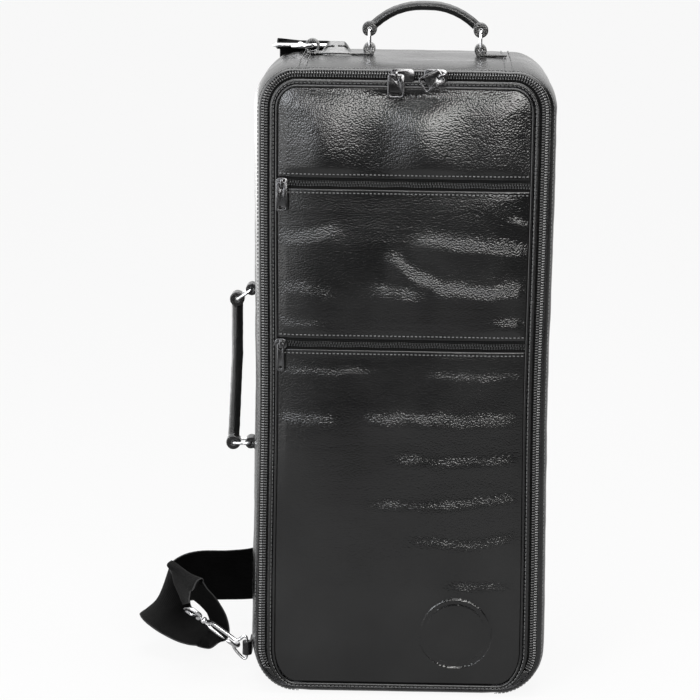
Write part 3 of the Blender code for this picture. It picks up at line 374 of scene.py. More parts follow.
def bump(tree, height, distance, strength=1.0, under=None):
    """A bump of a real height in metres, on top of another one."""
    inputs = {"Height": height, "Distance": distance, "Strength": strength}
    if under is not None:
        inputs["Normal"] = under
    return add(tree, "ShaderNodeBump", inputs).outputs["Normal"]


def scaled(tree, scale, source=None):
    """Object coordinates stretched by a scale for each axis."""
    if source is None:
        source = add(tree, "ShaderNodeTexCoord").outputs["Object"]
    return add(tree, "ShaderNodeMapping", {"Vector": source, "Scale": scale}).outputs["Vector"]


def leather(name, grain, slope, crease_height, gloss, stretch, shine=0.46):
    """Glossy black leather with a pebbled grain, fine pores, long creases and paler worn patches."""
    made = bpy.data.materials.new(name)
    made.use_nodes = True
    tree = made.node_tree
    shader = tree.nodes["Principled BSDF"]
    base = add(tree, "ShaderNodeTexCoord").outputs["Object"]
    drift = add(tree, "ShaderNodeTexNoise", {"Vector": base, "Scale": 0.5 / grain, "Detail": 2.0})
    warp = add(tree, "ShaderNodeVectorMath", {0: drift.outputs["Color"], 1: (grain * 0.35,) * 3}, operation="MULTIPLY")
    bent = add(tree, "ShaderNodeVectorMath", {0: base, 1: warp.outputs[0]}, operation="ADD").outputs[0]
    cells = add(tree, "ShaderNodeTexVoronoi", {"Vector": bent, "Scale": 1.0 / grain, "Randomness": 0.9})
    dome = add(tree, "ShaderNodeMath", {0: cells.outputs["Distance"], 1: cells.outputs["Distance"]},
               operation="MULTIPLY")
    dome = add(tree, "ShaderNodeMath", {0: dome.outputs[0], 1: -1.0}, operation="MULTIPLY").outputs[0]
    pores = add(tree, "ShaderNodeTexNoise", {"Vector": base, "Scale": 3.6 / grain, "Detail": 2.0})
    long_way = scaled(tree, (1.0, 1.0, stretch), base)
    crease = add(tree, "ShaderNodeTexNoise", {"Vector": long_way, "Scale": 26.0, "Detail": 2.0, "Distortion": 0.5})
    normal = bump(tree, crease.outputs["Fac"], crease_height)
    raised = ramp(tree, add(tree, "ShaderNodeAttribute", attribute_name="raised").outputs["Fac"], 0.0, 1.0, 0.3, 1.0)
    normal = bump(tree, dome, slope * grain / 0.3, raised, normal)
    normal = bump(tree, pores.outputs["Fac"], grain * 0.010, 1.0, normal)
    wear = add(tree, "ShaderNodeTexNoise", {"Vector": base, "Scale": 17.0, "Detail": 4.0})
    colour = mixed(tree, ramp(tree, wear.outputs["Fac"], 0.35, 0.75), LEATHER_BLACK, LEATHER_WORN)
    tree.links.new(colour, shader.inputs["Base Color"])
    tree.links.new(ramp(tree, wear.outputs["Fac"], 0.3, 0.7, gloss - 0.04, gloss + 0.08), shader.inputs["Roughness"])
    tree.links.new(normal, shader.inputs["Normal"])
    shader.inputs["Specular IOR Level"].default_value = shine
    return made


def plain_thread():
    """Waxed black thread with a slight twist, coloured grey: partly the thread's own tone, partly a painted highlight
    on the stitches.
    """
    made = bpy.data.materials.new("waxed_thread_painted_highlight")
    made.use_nodes = True
    tree = made.node_tree
    shader = tree.nodes["Principled BSDF"]
    twist = add(tree, "ShaderNodeTexNoise", {"Vector": scaled(tree, (1, 1, 1)), "Scale": 2600.0, "Detail": 1.0})
    # Painted highlight: the black thread is lifted to grey so that its stitches read bright.
    colour = mixed(tree, twist.outputs["Fac"], (0.09, 0.09, 0.09), (0.20, 0.20, 0.20))
    tree.links.new(colour, shader.inputs["Base Color"])
    tree.links.new(bump(tree, twist.outputs["Fac"], 0.00008), shader.inputs["Normal"])
    shader.inputs["Roughness"].default_value = 0.55
    return made


ENDS = ((-0.50, 0.35), (-0.46, 0.85), (-0.34, 1.0), (-0.16, 0.72), (0.16, 0.72), (0.34, 1.0), (0.46, 0.85), (0.50, 0.35))


def bead(name, length, width, depth, around=6):
    """One stitch or coil turn: a small rounded bar along X, a little thinner at its middle."""
    bm = bmesh.new()
    rings = []
    for place, swell in ENDS:
        turns = [math.tau * k / around for k in range(around)]
        rings.append([bm.verts.new((place * length, width / 2 * swell * math.cos(t), depth / 2 * swell * math.sin(t)))
                      for t in turns])
    for here, there in zip(rings, rings[1:]):
        for k in range(around):
            n = (k + 1) % around
            bm.faces.new((here[k], here[n], there[n], there[k]))
    bm.faces.new(rings[0])
    bm.faces.new(rings[-1][::-1])
    return finished(name, bm, 80.0)


def repeat_tree(crosswise):
    """Nodes that set an item at an even pitch along paths, lying along them or across them."""
    tree = bpy.data.node_groups.new("repeat_along", "GeometryNodeTree")
    sides = tree.interface
    sides.new_socket("Geometry", in_out="INPUT", socket_type="NodeSocketGeometry")
    sides.new_socket("Pitch", in_out="INPUT", socket_type="NodeSocketFloat")
    sides.new_socket("Item", in_out="INPUT", socket_type="NodeSocketObject")
    sides.new_socket("Facing", in_out="INPUT", socket_type="NodeSocketVector")
    sides.new_socket("Finish", in_out="INPUT", socket_type="NodeSocketMaterial")
    sides.new_socket("Geometry", in_out="OUTPUT", socket_type="NodeSocketGeometry")
    given = add(tree, "NodeGroupInput").outputs
    curve = add(tree, "GeometryNodeMeshToCurve", {"Mesh": given["Geometry"]})
    even = add(tree, "GeometryNodeResampleCurve", {"Curve": curve.outputs[0], "Length": given["Pitch"]}, mode="LENGTH")
    tangent = add(tree, "GeometryNodeInputTangent").outputs[0]
    across = add(tree, "ShaderNodeVectorMath", {0: tangent, 1: given["Facing"]}, operation="CROSS_PRODUCT").outputs[0]
    lie = add(tree, "FunctionNodeAlignRotationToVector", {"Vector": across if crosswise else tangent}, axis="X")
    item = add(tree, "GeometryNodeObjectInfo", {"Object": given["Item"]})
    placed = add(tree, "GeometryNodeInstanceOnPoints", {
        "Points": even.outputs[0], "Instance": item.outputs["Geometry"], "Rotation": lie.outputs[0],
    })
    real = add(tree, "GeometryNodeRealizeInstances", {"Geometry": placed.outputs[0]})
    painted = add(tree, "GeometryNodeSetMaterial", {"Geometry": real.outputs[0], "Material": given["Finish"]})
    add(tree, "NodeGroupOutput", {"Geometry": painted.outputs[0]})
    return tree


LYING = repeat_tree(False)
CROSSING = repeat_tree(True)
THREAD = plain_thread()
STITCH = bead("stitch", 0.0024, 0.00085, 0.00090)


def repeated(name, paths, item, pitch, finish, body, slot, tree=LYING, facing=(0, 1, 0)):
    """One mesh of an item set again and again along paths."""
    verts, edges = [], []
    for path in paths:
        first = len(verts)
        verts += [tuple(p) for p in path]
        edges += [(first + i, first + i + 1) for i in range(len(path) - 1)]
    mesh = bpy.data.meshes.new(name + "_path")
    mesh.from_pydata(verts, edges, [])
    holder = bpy.data.objects.new(name + "_path", mesh)
    bpy.context.scene.collection.objects.link(holder)
    nodes = holder.modifiers.new("repeat", "NODES")
    nodes.node_group = tree
    values = {"Pitch": pitch, "Item": item, "Facing": facing, "Finish": finish}
    for socket in tree.interface.items_tree:
        if socket.item_type == "SOCKET" and socket.in_out == "INPUT" and socket.name in values:
            nodes[socket.identifier] = values[socket.name]
    item.hide_viewport = False
    result = bpy.data.meshes.new_from_object(holder.evaluated_get(bpy.context.evaluated_depsgraph_get()))
    result.name = name
    bpy.data.objects.remove(holder)
    piece = bpy.data.objects.new(name, result)
    bpy.context.scene.collection.objects.link(piece)
    return sew_in(piece, finish, body, slot)


def stitched(name, paths, body="root", pitch=0.0036, item=STITCH):
    """A row of stitches along each path."""
    return repeated(name, paths, item, pitch, THREAD, body, "black_leather")


def tightness(part, i, count):
    """How tightly the front edge is turned: loose everywhere but down the right side."""
    if part != "right":
        return 0.0
    share = min(i / CORNER_STEPS, (count - 1 - i) / CORNER_STEPS, 1.0)
    return share * share * (3.0 - 2.0 * share)


def edge_column(part, k, front, extra=0.0):
    """The points along one row of a gusset's front or back edge."""
    loose = LOOSE_EDGE[k] if front else TIGHT_EDGE[k]
    tight = TIGHT_EDGE[k]
    near = rim(loose[0] + extra, loose[1] + extra, part)
    far = rim(tight[0] + extra, tight[1] + extra, part)
    points = []
    for i, (a, b) in enumerate(zip(near, far)):
        w = tightness(part, i, len(near))
        y = loose[2] + (tight[2] - loose[2]) * w
        points.append((a[0] + (b[0] - a[0]) * w, FRONT + y if front else BACK - y, a[1] + (b[1] - a[1]) * w))
    return points


def gusset_columns(part, extra=0.0, skipped=0):
    """All rows across a gusset from its front lip to its back lip."""
    rows = len(LOOSE_EDGE)
    columns = [edge_column(part, k, True, extra) for k in range(skipped, rows)]
    start, end = FRONT + LOOSE_EDGE[-1][2], BACK - TIGHT_EDGE[-1][2]
    for step in range(1, MIDDLE_ROWS):
        y = start + (end - start) * step / MIDDLE_ROWS
        columns.append([(x, y, z) for x, z in rim(extra, extra, part)])
    return columns + [edge_column(part, k, False, extra) for k in reversed(range(skipped, rows))]


def gusset(name, part):
    """One gusset leather with its crown, puckers and turned edges."""
    columns = gusset_columns(part)
    inner = gusset_columns(part, HIDE, 3)
    rows = []
    count = len(columns[0])
    for i in range(count):
        row = []
        near_seam = min(i, count - 1 - i) / 4.0
        for k, column in enumerate(columns):
            x, y, z = column[i]
            fade = min(1.0, near_seam, min(k, len(columns) - 1 - k) / 8.0)
            lumps = noise.noise(Vector((x * 34, y * 22, z * 34))) + 0.5 * noise.noise(Vector((x * 90, y * 60, z * 90)))
            seam = 0.0007 * max(0.0, 1.0 - near_seam)
            depth = PUCKER * fade * lumps * (0.25 if part == "base" else 1.0) + seam
            centre = Vector((max(-SEAM_X, min(SEAM_X, x)), y, max(0.06, min(HEIGHT - 0.06, z))))
            push = (centre - Vector((x, y, z))).normalized() * depth
            moved = give((x + push.x, y, z + push.z))
            moved.z = max(moved.z, 0.0)
            row.append(moved)
        row += [give(column[i]) for column in reversed(inner)]
        rows.append(row)
    return skin(name, rows)


GUSSET_LEATHER = leather("gusset_leather", 0.0018, 0.07, 0.0003, 0.22, 1.0)
for part in ("left", "right", "top", "base"):
    piece = gusset(part + "_gusset_leather", part)
    sew_in(piece, GUSSET_LEATHER, "root", "black_leather", part + "_gusset")

SEAM_STITCH = 0.0032


def sewn_rims():
    """Stitch rows along the front and back lips, and beside the four corner seams."""
    rows = []
    for front in (True, False):
        rows.append([give(p) for part in ("left", "top", "right") for p in edge_column(part, LIP_ROW, front, -0.0001)])
    for x in (-SEAM_X - SEAM_STITCH, -SEAM_X + SEAM_STITCH, SEAM_X - SEAM_STITCH, SEAM_X + SEAM_STITCH):
        profile = [(FRONT + y, inset) for inset, _, y in LOOSE_EDGE[LIP_ROW:]]
        profile += [(BACK - y, inset) for inset, _, y in reversed(TIGHT_EDGE[LIP_ROW:])]
        rows.append([give((x, y, HEIGHT - inset + 0.0001)) for y, inset in profile])
    return rows


stitched("gusset_stitches", sewn_rims())

# Back
# One padded leather closes the back. It is sewn into the gussets' rear edge and has a soft crown.
BACK_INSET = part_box("back_panel")[1].x
BACK_CROWN = 0.0030
BACK_ROLL = 0.0022


def corner_half(z, inset, base_inset):
    """Half width of the bag's outline, drawn in by the insets, at a height."""
    across, top_z = drawn(inset), HEIGHT - TOP_CORNER
    if z > top_z:
        share = min((z - top_z) / (TOP_CORNER - inset), 1.0)
        return HALF_WIDTH - TOP_CORNER + (TOP_CORNER - across) * math.sqrt(1.0 - share**2)
    if z < BASE_CORNER:
        share = min((BASE_CORNER - z) / (BASE_CORNER - base_inset), 1.0)
        return HALF_WIDTH - BASE_CORNER + (BASE_CORNER - across) * math.sqrt(1.0 - share**2)
    return HALF_WIDTH - across


def edge_distance(x, z, inset, base_inset):
    """How far a place is inside the outline drawn in by the insets."""
    wide, top_z = drawn(inset), HEIGHT - TOP_CORNER
    top_x, base_x = HALF_WIDTH - TOP_CORNER, HALF_WIDTH - BASE_CORNER
    across = abs(x)
    if z > top_z and across > top_x:
        share = math.hypot((across - top_x) / (TOP_CORNER - wide), (z - top_z) / (TOP_CORNER - inset))
        return (TOP_CORNER - wide) * (1.0 - share)
    if z < BASE_CORNER and across > base_x:
        radii = (BASE_CORNER - wide, BASE_CORNER - base_inset)
        return min(radii) * (1.0 - math.hypot((across - base_x) / radii[0], (BASE_CORNER - z) / radii[1]))
    return min(HALF_WIDTH - wide - across, HEIGHT - inset - z, z - base_inset)


def stations(low, high, pitch, low_fine, high_fine):
    """Places between two ends at an even pitch, closer together at an end that is rolled over."""
    fine = (0.0, 0.0002, 0.0006, 0.0011, 0.0017, 0.0026, 0.0038)
    places = [low + f for f in (fine if low_fine else (0.0,))]
    last = [high - f for f in reversed(fine if high_fine else (0.0,))]
    count = max(2, round((last[0] - places[-1]) / pitch))
    gap = (last[0] - places[-1]) / count
    return places + [places[-1] + gap * i for i in range(1, count)] + last


def leather_swell(x, z, low, high, inset, base_inset, crown, reach, roll, relief):
    """How far a padded leather stands out at a place, rolled back at its edges."""
    inside = max(edge_distance(x, z, inset, base_inset), 0.0)
    near = min(inside, z - low, high - z)
    turned = roll * (1 - math.sqrt(max(1 - (1 - min(near / roll, 1.0)) ** 2, 0.0)))
    swell = crown * (1 - (1 - min(inside / reach, 1.0)) ** 2)
    return swell - turned + relief(x, z) * min(1.0, near / 0.008)


def padded_leather(name, low, high, inset, base_inset, facing, face, rear, crown, reach, roll, relief,
                   grained=None, pitch=0.0022):
    """A crowned leather panel with rolled edges between two heights; facing is -1 for the front."""
    rows, raised = [], []
    shares = stations(-1.0, 1.0, pitch * 7.5, True, True)
    for z in stations(low, high, pitch, True, True):
        half = corner_half(min(max(z, low), high), inset, base_inset)
        row = []
        for s in shares:
            if abs(s) > 0.96:
                x = math.copysign(half - (1 - abs(s)) * 0.11, s)
            else:
                x = s * half
            y = face + facing * leather_swell(x, z, low, high, inset, base_inset, crown, reach, roll, relief)
            row.append(give((x, y, z)))
        row.append(give((half, rear, z)))
        row.append(give((-half, rear, z)))
        rows.append(row)
        if grained:
            raised.append([grained(point.x, z) for point in row])
    return skin(name, rows, raised=raised)


def back_relief(x, z):
    """Soft lumps of the padding under the back leather."""
    return 0.0007 * noise.noise(Vector((x * 14, 3.1, z * 11))) + 0.0003 * noise.noise(Vector((x * 50, 7.7, z * 44)))


BACK_LEATHER = leather("back_leather", 0.0019, 0.14, 0.0003, 0.24, 1.4)
back_inset = HALF_WIDTH - BACK_INSET
back = padded_leather("back_leather", back_inset, HEIGHT - back_inset, back_inset, back_inset, 1, BACK,
                      BACK - 0.0026, BACK_CROWN, 0.030, BACK_ROLL, back_relief)
sew_in(back, BACK_LEATHER, "root", "black_leather", "back_panel")

# Inside
# Grey plush over foam lines the body and the lid. A padded divider, two bell rests and two notched
# valve blocks hold the trumpets, all of them foam covered with the same plush.
PLUSH = (0.075, 0.076, 0.082)
LINING_INSET = HALF_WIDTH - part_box("body_lining")[1].x
PILE = 0.0009


def plush(name, colour):
    """Short grey pile that catches light at its edges."""
    made = bpy.data.materials.new(name)
    made.use_nodes = True
    tree = made.node_tree
    shader = tree.nodes["Principled BSDF"]
    base = add(tree, "ShaderNodeTexCoord").outputs["Object"]
    pile = add(tree, "ShaderNodeTexNoise", {"Vector": base, "Scale": 1500.0, "Detail": 3.0})
    brushed = add(tree, "ShaderNodeTexNoise", {"Vector": base, "Scale": 22.0, "Detail": 4.0})
    pale = tuple(1.7 * c for c in colour)
    tree.links.new(mixed(tree, ramp(tree, brushed.outputs["Fac"], 0.35, 0.7), colour, pale), shader.inputs["Base Color"])
    tree.links.new(bump(tree, pile.outputs["Fac"], 0.0006), shader.inputs["Normal"])
    shader.inputs["Roughness"].default_value = 0.95
    shader.inputs["Sheen Weight"].default_value = 0.6
    shader.inputs["Sheen Roughness"].default_value = 0.4
    return made


def foam_finish():
    """Closed-cell grey foam with small open bubbles on its cut faces, each darkened towards its hollow middle with
    painted shade.
    """
    made = bpy.data.materials.new("cut_foam")
    made.use_nodes = True
    tree = made.node_tree
    shader = tree.nodes["Principled BSDF"]
    base = add(tree, "ShaderNodeTexCoord").outputs["Object"]
    bubbles = add(tree, "ShaderNodeTexVoronoi", {"Vector": base, "Scale": 1400.0})
    # Painted shade: each bubble's colour darkens towards its hollow middle, following the bump.
    tree.links.new(mixed(tree, bubbles.outputs["Distance"], (0.11, 0.11, 0.12), (0.20, 0.20, 0.21)),
                   shader.inputs["Base Color"])
    tree.links.new(bump(tree, bubbles.outputs["Distance"], 0.0004), shader.inputs["Normal"])
    shader.inputs["Roughness"].default_value = 0.9
    return made


def copy_of(node, name):
    """A copy of a node's mesh with its loose triangles joined into clean faces."""
    bm = bmesh.new()
    bm.from_mesh(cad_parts[node].data)
    bmesh.ops.remove_doubles(bm, verts=bm.verts, dist=1e-6)
    bmesh.ops.dissolve_limit(bm, angle_limit=math.radians(2.0), verts=bm.verts, edges=bm.edges)
    return finished(name, bm, 35.0)


def use_modifiers(piece):
    """Bakes a piece's modifiers into its mesh."""
    result = bpy.data.meshes.new_from_object(piece.evaluated_get(bpy.context.evaluated_depsgraph_get()))
    piece.modifiers.clear()
    piece.data = result
    return piece


def moulded(node, name, voxel, smoothing, lumps=0.0, pitch=60.0):
    """A soft solid in the space of a node: its mesh remeshed, relaxed and slightly uneven."""
    piece = copy_of(node, name)
    remesh = piece.modifiers.new("remesh", "REMESH")
    remesh.mode = "VOXEL"
    remesh.voxel_size = voxel
    relax = piece.modifiers.new("relax", "SMOOTH")
    relax.factor = 0.5
    relax.iterations = smoothing
    use_modifiers(piece)
    mesh = piece.data
    if lumps:
        normals = [v.normal.copy() for v in mesh.vertices]
        for vert, normal in zip(mesh.vertices, normals):
            vert.co += normal * lumps * noise.noise(vert.co * pitch)
    mesh.shade_smooth()
    return piece


BODY_PLUSH = plush("body_plush", PLUSH)
FOAM = foam_finish()
for node in ("divider", "left_bell_rest", "right_bell_rest", "left_valve_block", "right_valve_block"):
    pad = moulded(node, node + "_pad", 0.0022, 8, PILE, 45.0)
    sew_in(pad, BODY_PLUSH, "root", "grey_plush", node)

foam_low, foam_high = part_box("gusset_foam")
FOAM_INSIDE = 0.0083
LEATHER_BACK = HIDE + 0.0003


def foam_ring():
    """The gussets' foam: a ring that follows the inside of the leather and its turned edges."""
    outside = []
    for edge, sign, end in ((LOOSE_EDGE, 1, foam_low.y), (TIGHT_EDGE, -1, foam_high.y)):
        inner_part = [(a, b, end if k < 0 else (FRONT + y if sign > 0 else BACK - y))
                      for k, (a, b, y) in enumerate(edge[5:])]
        inner_part[0] = (edge[5][0], edge[5][1], end)
        outside += inner_part if sign > 0 else inner_part[::-1]
    loops = [[give((x, y, z)) for x, z in whole_rim(a + LEATHER_BACK, b + LEATHER_BACK)] for a, b, y in outside]
    for y in (foam_high.y, foam_low.y):
        loops.append([give((x, y, z)) for x, z in whole_rim(FOAM_INSIDE, FOAM_INSIDE, float)])
    return skin("gusset_foam_layer", [list(row) for row in zip(*loops)], ring=True)


ring = foam_ring()
sew_in(ring, FOAM, "root", "grey_foam", "gusset_foam")
for node, body in (("back_foam", "root"), ("lid_foam", "lid")):
    layer = copy_of(node, node + "_layer")
    edge = layer.modifiers.new("edge", "BEVEL")
    edge.width = 0.0006
    edge.segments = 2
    edge.limit_method = "ANGLE"
    use_modifiers(layer)
    sew_in(layer, FOAM, body, "grey_foam", node)


def lining_shell():
    """The body's lining: walls and back in one piece, with a soft roll at its front edge."""
    low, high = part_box("body_lining")
    back_y, front_y = high.y, low.y
    wall = high.y - 0.0015
    thick = LINING_INSET + 0.0015
    loops = [(thick + 0.004, wall), (thick + 0.001, wall - 0.001), (thick, wall - 0.005)]
    loops += [(thick - 0.0004 * math.sin(i * 0.9), wall - 0.005 - (wall - 0.010 - front_y) * i / 24) for i in range(1, 24)]
    loops += [(thick, front_y + 0.001), (thick - 0.0007, front_y), (LINING_INSET + 0.0003, front_y + 0.0006)]
    loops += [(LINING_INSET, front_y + 0.003), (LINING_INSET, back_y)]
    return skin("body_lining_plush", [[give((x, y, z)) for x, z in whole_rim(i, i, float)] for i, y in loops])


sew_in(lining_shell(), BODY_PLUSH, "root", "grey_plush", "body_lining")
lid_lining = copy_of("lid_lining", "lid_lining_plush")
rounding = lid_lining.modifiers.new("edge", "BEVEL")
rounding.width = 0.0005
rounding.segments = 2
use_modifiers(lid_lining)
sew_in(lid_lining, BODY_PLUSH, "lid", "grey_plush", "lid_lining")
for node in ("upper_pocket_bag", "lower_pocket_bag"):
    bag = copy_of(node, node + "_cloth")
    sew_in(bag, BODY_PLUSH, "lid", "grey_plush", node)

# Main zip
# A black woven tape and a nylon coil on each side of the front edge, sewn to the gusset and to
# the lid. The two rows of coil turns mesh when the bag is shut. Leather tabs end the tapes.
TAPE_INSET = 0.0045
MEETING = 0.0087
COIL_REACH = 0.0031
TAPE_END = 0.0164
COIL_PITCH = 0.00240
ZIP_START = 13
TAB_DRAW = 0.0016
TAPE_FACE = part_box("zip_body_side")[1].y - 0.0008
COIL_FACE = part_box("zip_body_side")[0].y


def woven(name, colour, scale, gloss):
    """Fine black weave on object coordinates, paler on its raised threads and darkened in its hollows with painted
    shade.
    """
    made = bpy.data.materials.new(name)
    made.use_nodes = True
    tree = made.node_tree
    shader = tree.nodes["Principled BSDF"]
    base = add(tree, "ShaderNodeTexCoord").outputs["Object"]
    one = add(tree, "ShaderNodeTexWave", {"Vector": base, "Scale": scale, "Distortion": 0.4}, bands_direction="Z")
    two = add(tree, "ShaderNodeTexWave", {"Vector": base, "Scale": scale, "Distortion": 0.4}, bands_direction="X")
    both = add(tree, "ShaderNodeMath", {0: one.outputs["Fac"], 1: two.outputs["Fac"]}, operation="MULTIPLY")
    # Painted shade: the weave's hollows are darker than its raised threads, following the bump.
    pale = tuple(2.4 * c for c in colour)
    tree.links.new(mixed(tree, both.outputs[0], colour, pale), shader.inputs["Base Color"])
    tree.links.new(bump(tree, both.outputs[0], 0.00022), shader.inputs["Normal"])
    shader.inputs["Roughness"].default_value = gloss
    shader.inputs["Specular IOR Level"].default_value = 0.15
    return made


def nylon(name, rough, shine):
    """Glossy black nylon with faint moulding marks."""
    made = bpy.data.materials.new(name)
    made.use_nodes = True
    tree = made.node_tree
    shader = tree.nodes["Principled BSDF"]
    marks = add(tree, "ShaderNodeTexNoise", {"Vector": scaled(tree, (1, 1, 1)), "Scale": 900.0, "Detail": 2.0})
    tree.links.new(mixed(tree, marks.outputs["Fac"], (0.003, 0.003, 0.003), (0.008, 0.008, 0.008)),
                   shader.inputs["Base Color"])
    tree.links.new(ramp(tree, marks.outputs["Fac"], 0.3, 0.7, rough, rough + 0.08), shader.inputs["Roughness"])
    shader.inputs["Specular IOR Level"].default_value = shine
    tree.links.new(bump(tree, marks.outputs["Fac"], 0.00004), shader.inputs["Normal"])
    return made


TAPE_CLOTH = woven("zip_tape", (0.0022, 0.0022, 0.0022), 620.0, 0.8)
NYLON = nylon("nylon_coil", 0.08, 1.0)
DULL_NYLON = nylon("dull_nylon_coil", 0.12, 0.45)
FINE_NYLON = nylon("fine_nylon_coil", 0.16, 0.36)
COIL_TURN = bead("coil_turn", 0.00305, 0.00098, 0.0026)
POCKET_TURN = bead("pocket_turn", 0.0024, 0.00105, 0.0026)
POCKET_PITCH = 0.0024


def zip_run(inset, y):
    """The zip's path round both sides and the top, between its two ends in the base corners."""
    points = rim(inset, inset, "left")[ZIP_START:] + rim(inset, inset, "top")[1:]
    points += rim(inset, inset, "right")[1:-ZIP_START]
    return [give((x, y, z)) for x, z in points]


def flat_run(name, inner, outer, front, rear):
    """A flat band along the zip's path between two insets."""
    edges = [zip_run(inner, front), zip_run((inner + outer) / 2, front - 0.00012), zip_run(outer, front),
             zip_run(outer, rear), zip_run(inner, rear)]
    return skin(name, [list(section) for section in zip(*edges)])


tape = flat_run("body_zip_tape", TAPE_INSET + 0.001, MEETING - 0.0002, TAPE_FACE - 0.0004, TAPE_FACE + 0.0006)
sew_in(tape, TAPE_CLOTH, "root", "zip_coil", "zip_body_side")
tape = flat_run("lid_zip_tape", MEETING + 0.0002, TAPE_END - 0.0016, TAPE_FACE - 0.0004, TAPE_FACE + 0.0006)
sew_in(tape, TAPE_CLOTH, "lid", "zip_coil", "zip_lid_side")
COIL_MIDDLE = (COIL_FACE + TAPE_FACE - 0.0004) / 2 - 0.0002
repeated("body_zip_coil", [zip_run(MEETING - COIL_REACH / 2 + 0.0001, COIL_MIDDLE)], COIL_TURN, COIL_PITCH, NYLON,
         "root", "zip_coil", CROSSING)
lid_path = zip_run(MEETING + COIL_REACH / 2 + 0.0001, COIL_MIDDLE)
lid_path[0] = lid_path[0] + Vector((0, 0, COIL_PITCH / 2))
repeated("lid_zip_coil", [lid_path], COIL_TURN, COIL_PITCH, DULL_NYLON, "lid", "zip_coil", CROSSING)
STRAP_LEATHER = leather("strap_leather", 0.0014, 0.12, 0.0002, 0.22, 1.0)
for side in ("left", "right"):
    tab = moulded(side + "_zip_tab", side + "_zip_end", 0.0007, 5)
    for vert in tab.data.vertices:
        vert.co.x += TAB_DRAW if side == "left" else -TAB_DRAW
    sew_in(tab, STRAP_LEATHER, "root", "black_leather", side + "_zip_tab")
strip = copy_of("hinge_strip", "hinge_webbing")
sew_in(strip, TAPE_CLOTH, "root", "black_webbing", "hinge_strip")

# Lid border and piping
# A turned strip of leather frames the lid beside the zip, stitched along its middle. A leather
# cord piping stands up between it and the panels.
BORDER = 0.0132
BORDER_END = 0.0180
BORDER_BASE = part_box("lid_border")[0].z
PIPING_MIDDLE = 0.01945
PIPING_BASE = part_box("lid_piping")[0].z + 0.00125
PIPING_RADIUS = 0.00118
BORDER_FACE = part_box("lid_border")[0].y
BORDER_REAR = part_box("lid_border")[1].y
PIPING_Y = FRONT - 0.0009


def ring_band(name, section):
    """A band all the way round the lid from corners of (inset, base inset, y)."""
    columns = [[give((x, y, z)) for x, z in whole_rim(i, b)] for i, b, y in section]
    return skin(name, [list(row) for row in zip(*columns)], ring=True)


border_run = BORDER_END - BORDER
base_run = 0.0016
border = ring_band("lid_border_leather", [
    (BORDER, BORDER_BASE, BORDER_REAR), (BORDER, BORDER_BASE, BORDER_FACE + 0.0008),
    (BORDER + 0.0003, BORDER_BASE + 0.0001, BORDER_FACE),
    (BORDER + 0.0010, BORDER_BASE + base_run * 0.2, BORDER_FACE - 0.0008),
    (BORDER + 0.0020, BORDER_BASE + base_run * 0.4, BORDER_FACE - 0.0012),
    (BORDER + 0.0030, BORDER_BASE + base_run * 0.6, BORDER_FACE - 0.0011),
    (BORDER_END - 0.0010, BORDER_BASE + base_run * 0.8, BORDER_FACE - 0.0005),
    (BORDER_END - 0.0003, BORDER_BASE + base_run * 0.95, BORDER_FACE + 0.0002),
    (BORDER_END, BORDER_BASE + base_run, BORDER_FACE + 0.0008), (BORDER_END, BORDER_BASE + base_run, BORDER_REAR),
])
sew_in(border, STRAP_LEATHER, "lid", "black_leather", "lid_border")
stitch_run = BORDER_END - 0.0012
rows = [give((x, BORDER_FACE - 0.0006, z)) for x, z in whole_rim(stitch_run, BORDER_BASE + base_run * 0.8)]
stitched("border_stitches", [rows + rows[:1]], "lid")
piping_section = []
for k in range(12):
    turn = math.tau * k / 12
    out = PIPING_RADIUS * math.cos(turn)
    piping_section.append((PIPING_MIDDLE + 0.0001 + out, PIPING_BASE + out, PIPING_Y + PIPING_RADIUS * math.sin(turn)))
piping = ring_band("lid_piping_leather", piping_section)
PIPING_LEATHER = leather("piping_leather", 0.0012, 0.04, 0.0001, 0.16, 1.0)
sew_in(piping, PIPING_LEATHER, "lid", "black_leather", "lid_piping")

# Lid panels
# Three pebbled leathers over foam. Their edges are turned under at the piping and at the pocket
# zips, and the soft hide lies in long level creases. A plain round mark is pressed in low down.
PANEL_INSET = HALF_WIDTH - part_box("lid_lower_panel")[1].x
PANEL_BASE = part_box("lid_lower_panel")[0].z
PANEL_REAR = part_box("lid_lower_panel")[1].y
PANEL_FACE = FRONT - 0.0005
PANEL_CROWN = 0.0030
CROWN_REACH = 0.040
PANEL_ROLL = 0.0009
LAP = 0.0006
MARK_CENTRE = (0.0525, 0.0606)
MARK_RADIUS = 0.0325
MARK_WIDTH = 0.0010
MARK_DEPTH = 0.0011


def pillow(x, z, low, high, depth, droop):
    """The padding's bulge: gone at a panel's edges, and fullest low down where the filling sinks."""
    across = min(abs(x) / (HALF_WIDTH - PANEL_INSET), 1.0)
    along = min(max((z - low) / (high - low), 0.0), 1.0) ** droop
    return depth * (1.0 - across**4) * (1.0 - (2.0 * along - 1.0) ** 2)


def eased(t):
    """A smooth step from nought to one."""
    t = min(max(t, 0.0), 1.0)
    return t * t * (3.0 - 2.0 * t)


def folds(x, z, table):
    """Sagging folds: each drops back over its width above a crest, and eases out below it."""
    total = 0.0
    for points, width, height, below in table:
        fade = eased((x - points[0][0]) / 0.02 + 0.5) * eased((points[-1][0] - x) / 0.02 + 0.5)
        if fade == 0.0:
            continue
        middle = points[0][1]
        for (x1, z1), (x2, z2) in zip(points, points[1:]):
            if x > x1:
                middle = z1 + (z2 - z1) * eased((x - x1) / (x2 - x1))
        down = (middle - z) / width
        total += fade * height * eased(down + 0.5) * math.exp(-max(down - 0.5, 0.0) * width / below)
    return total


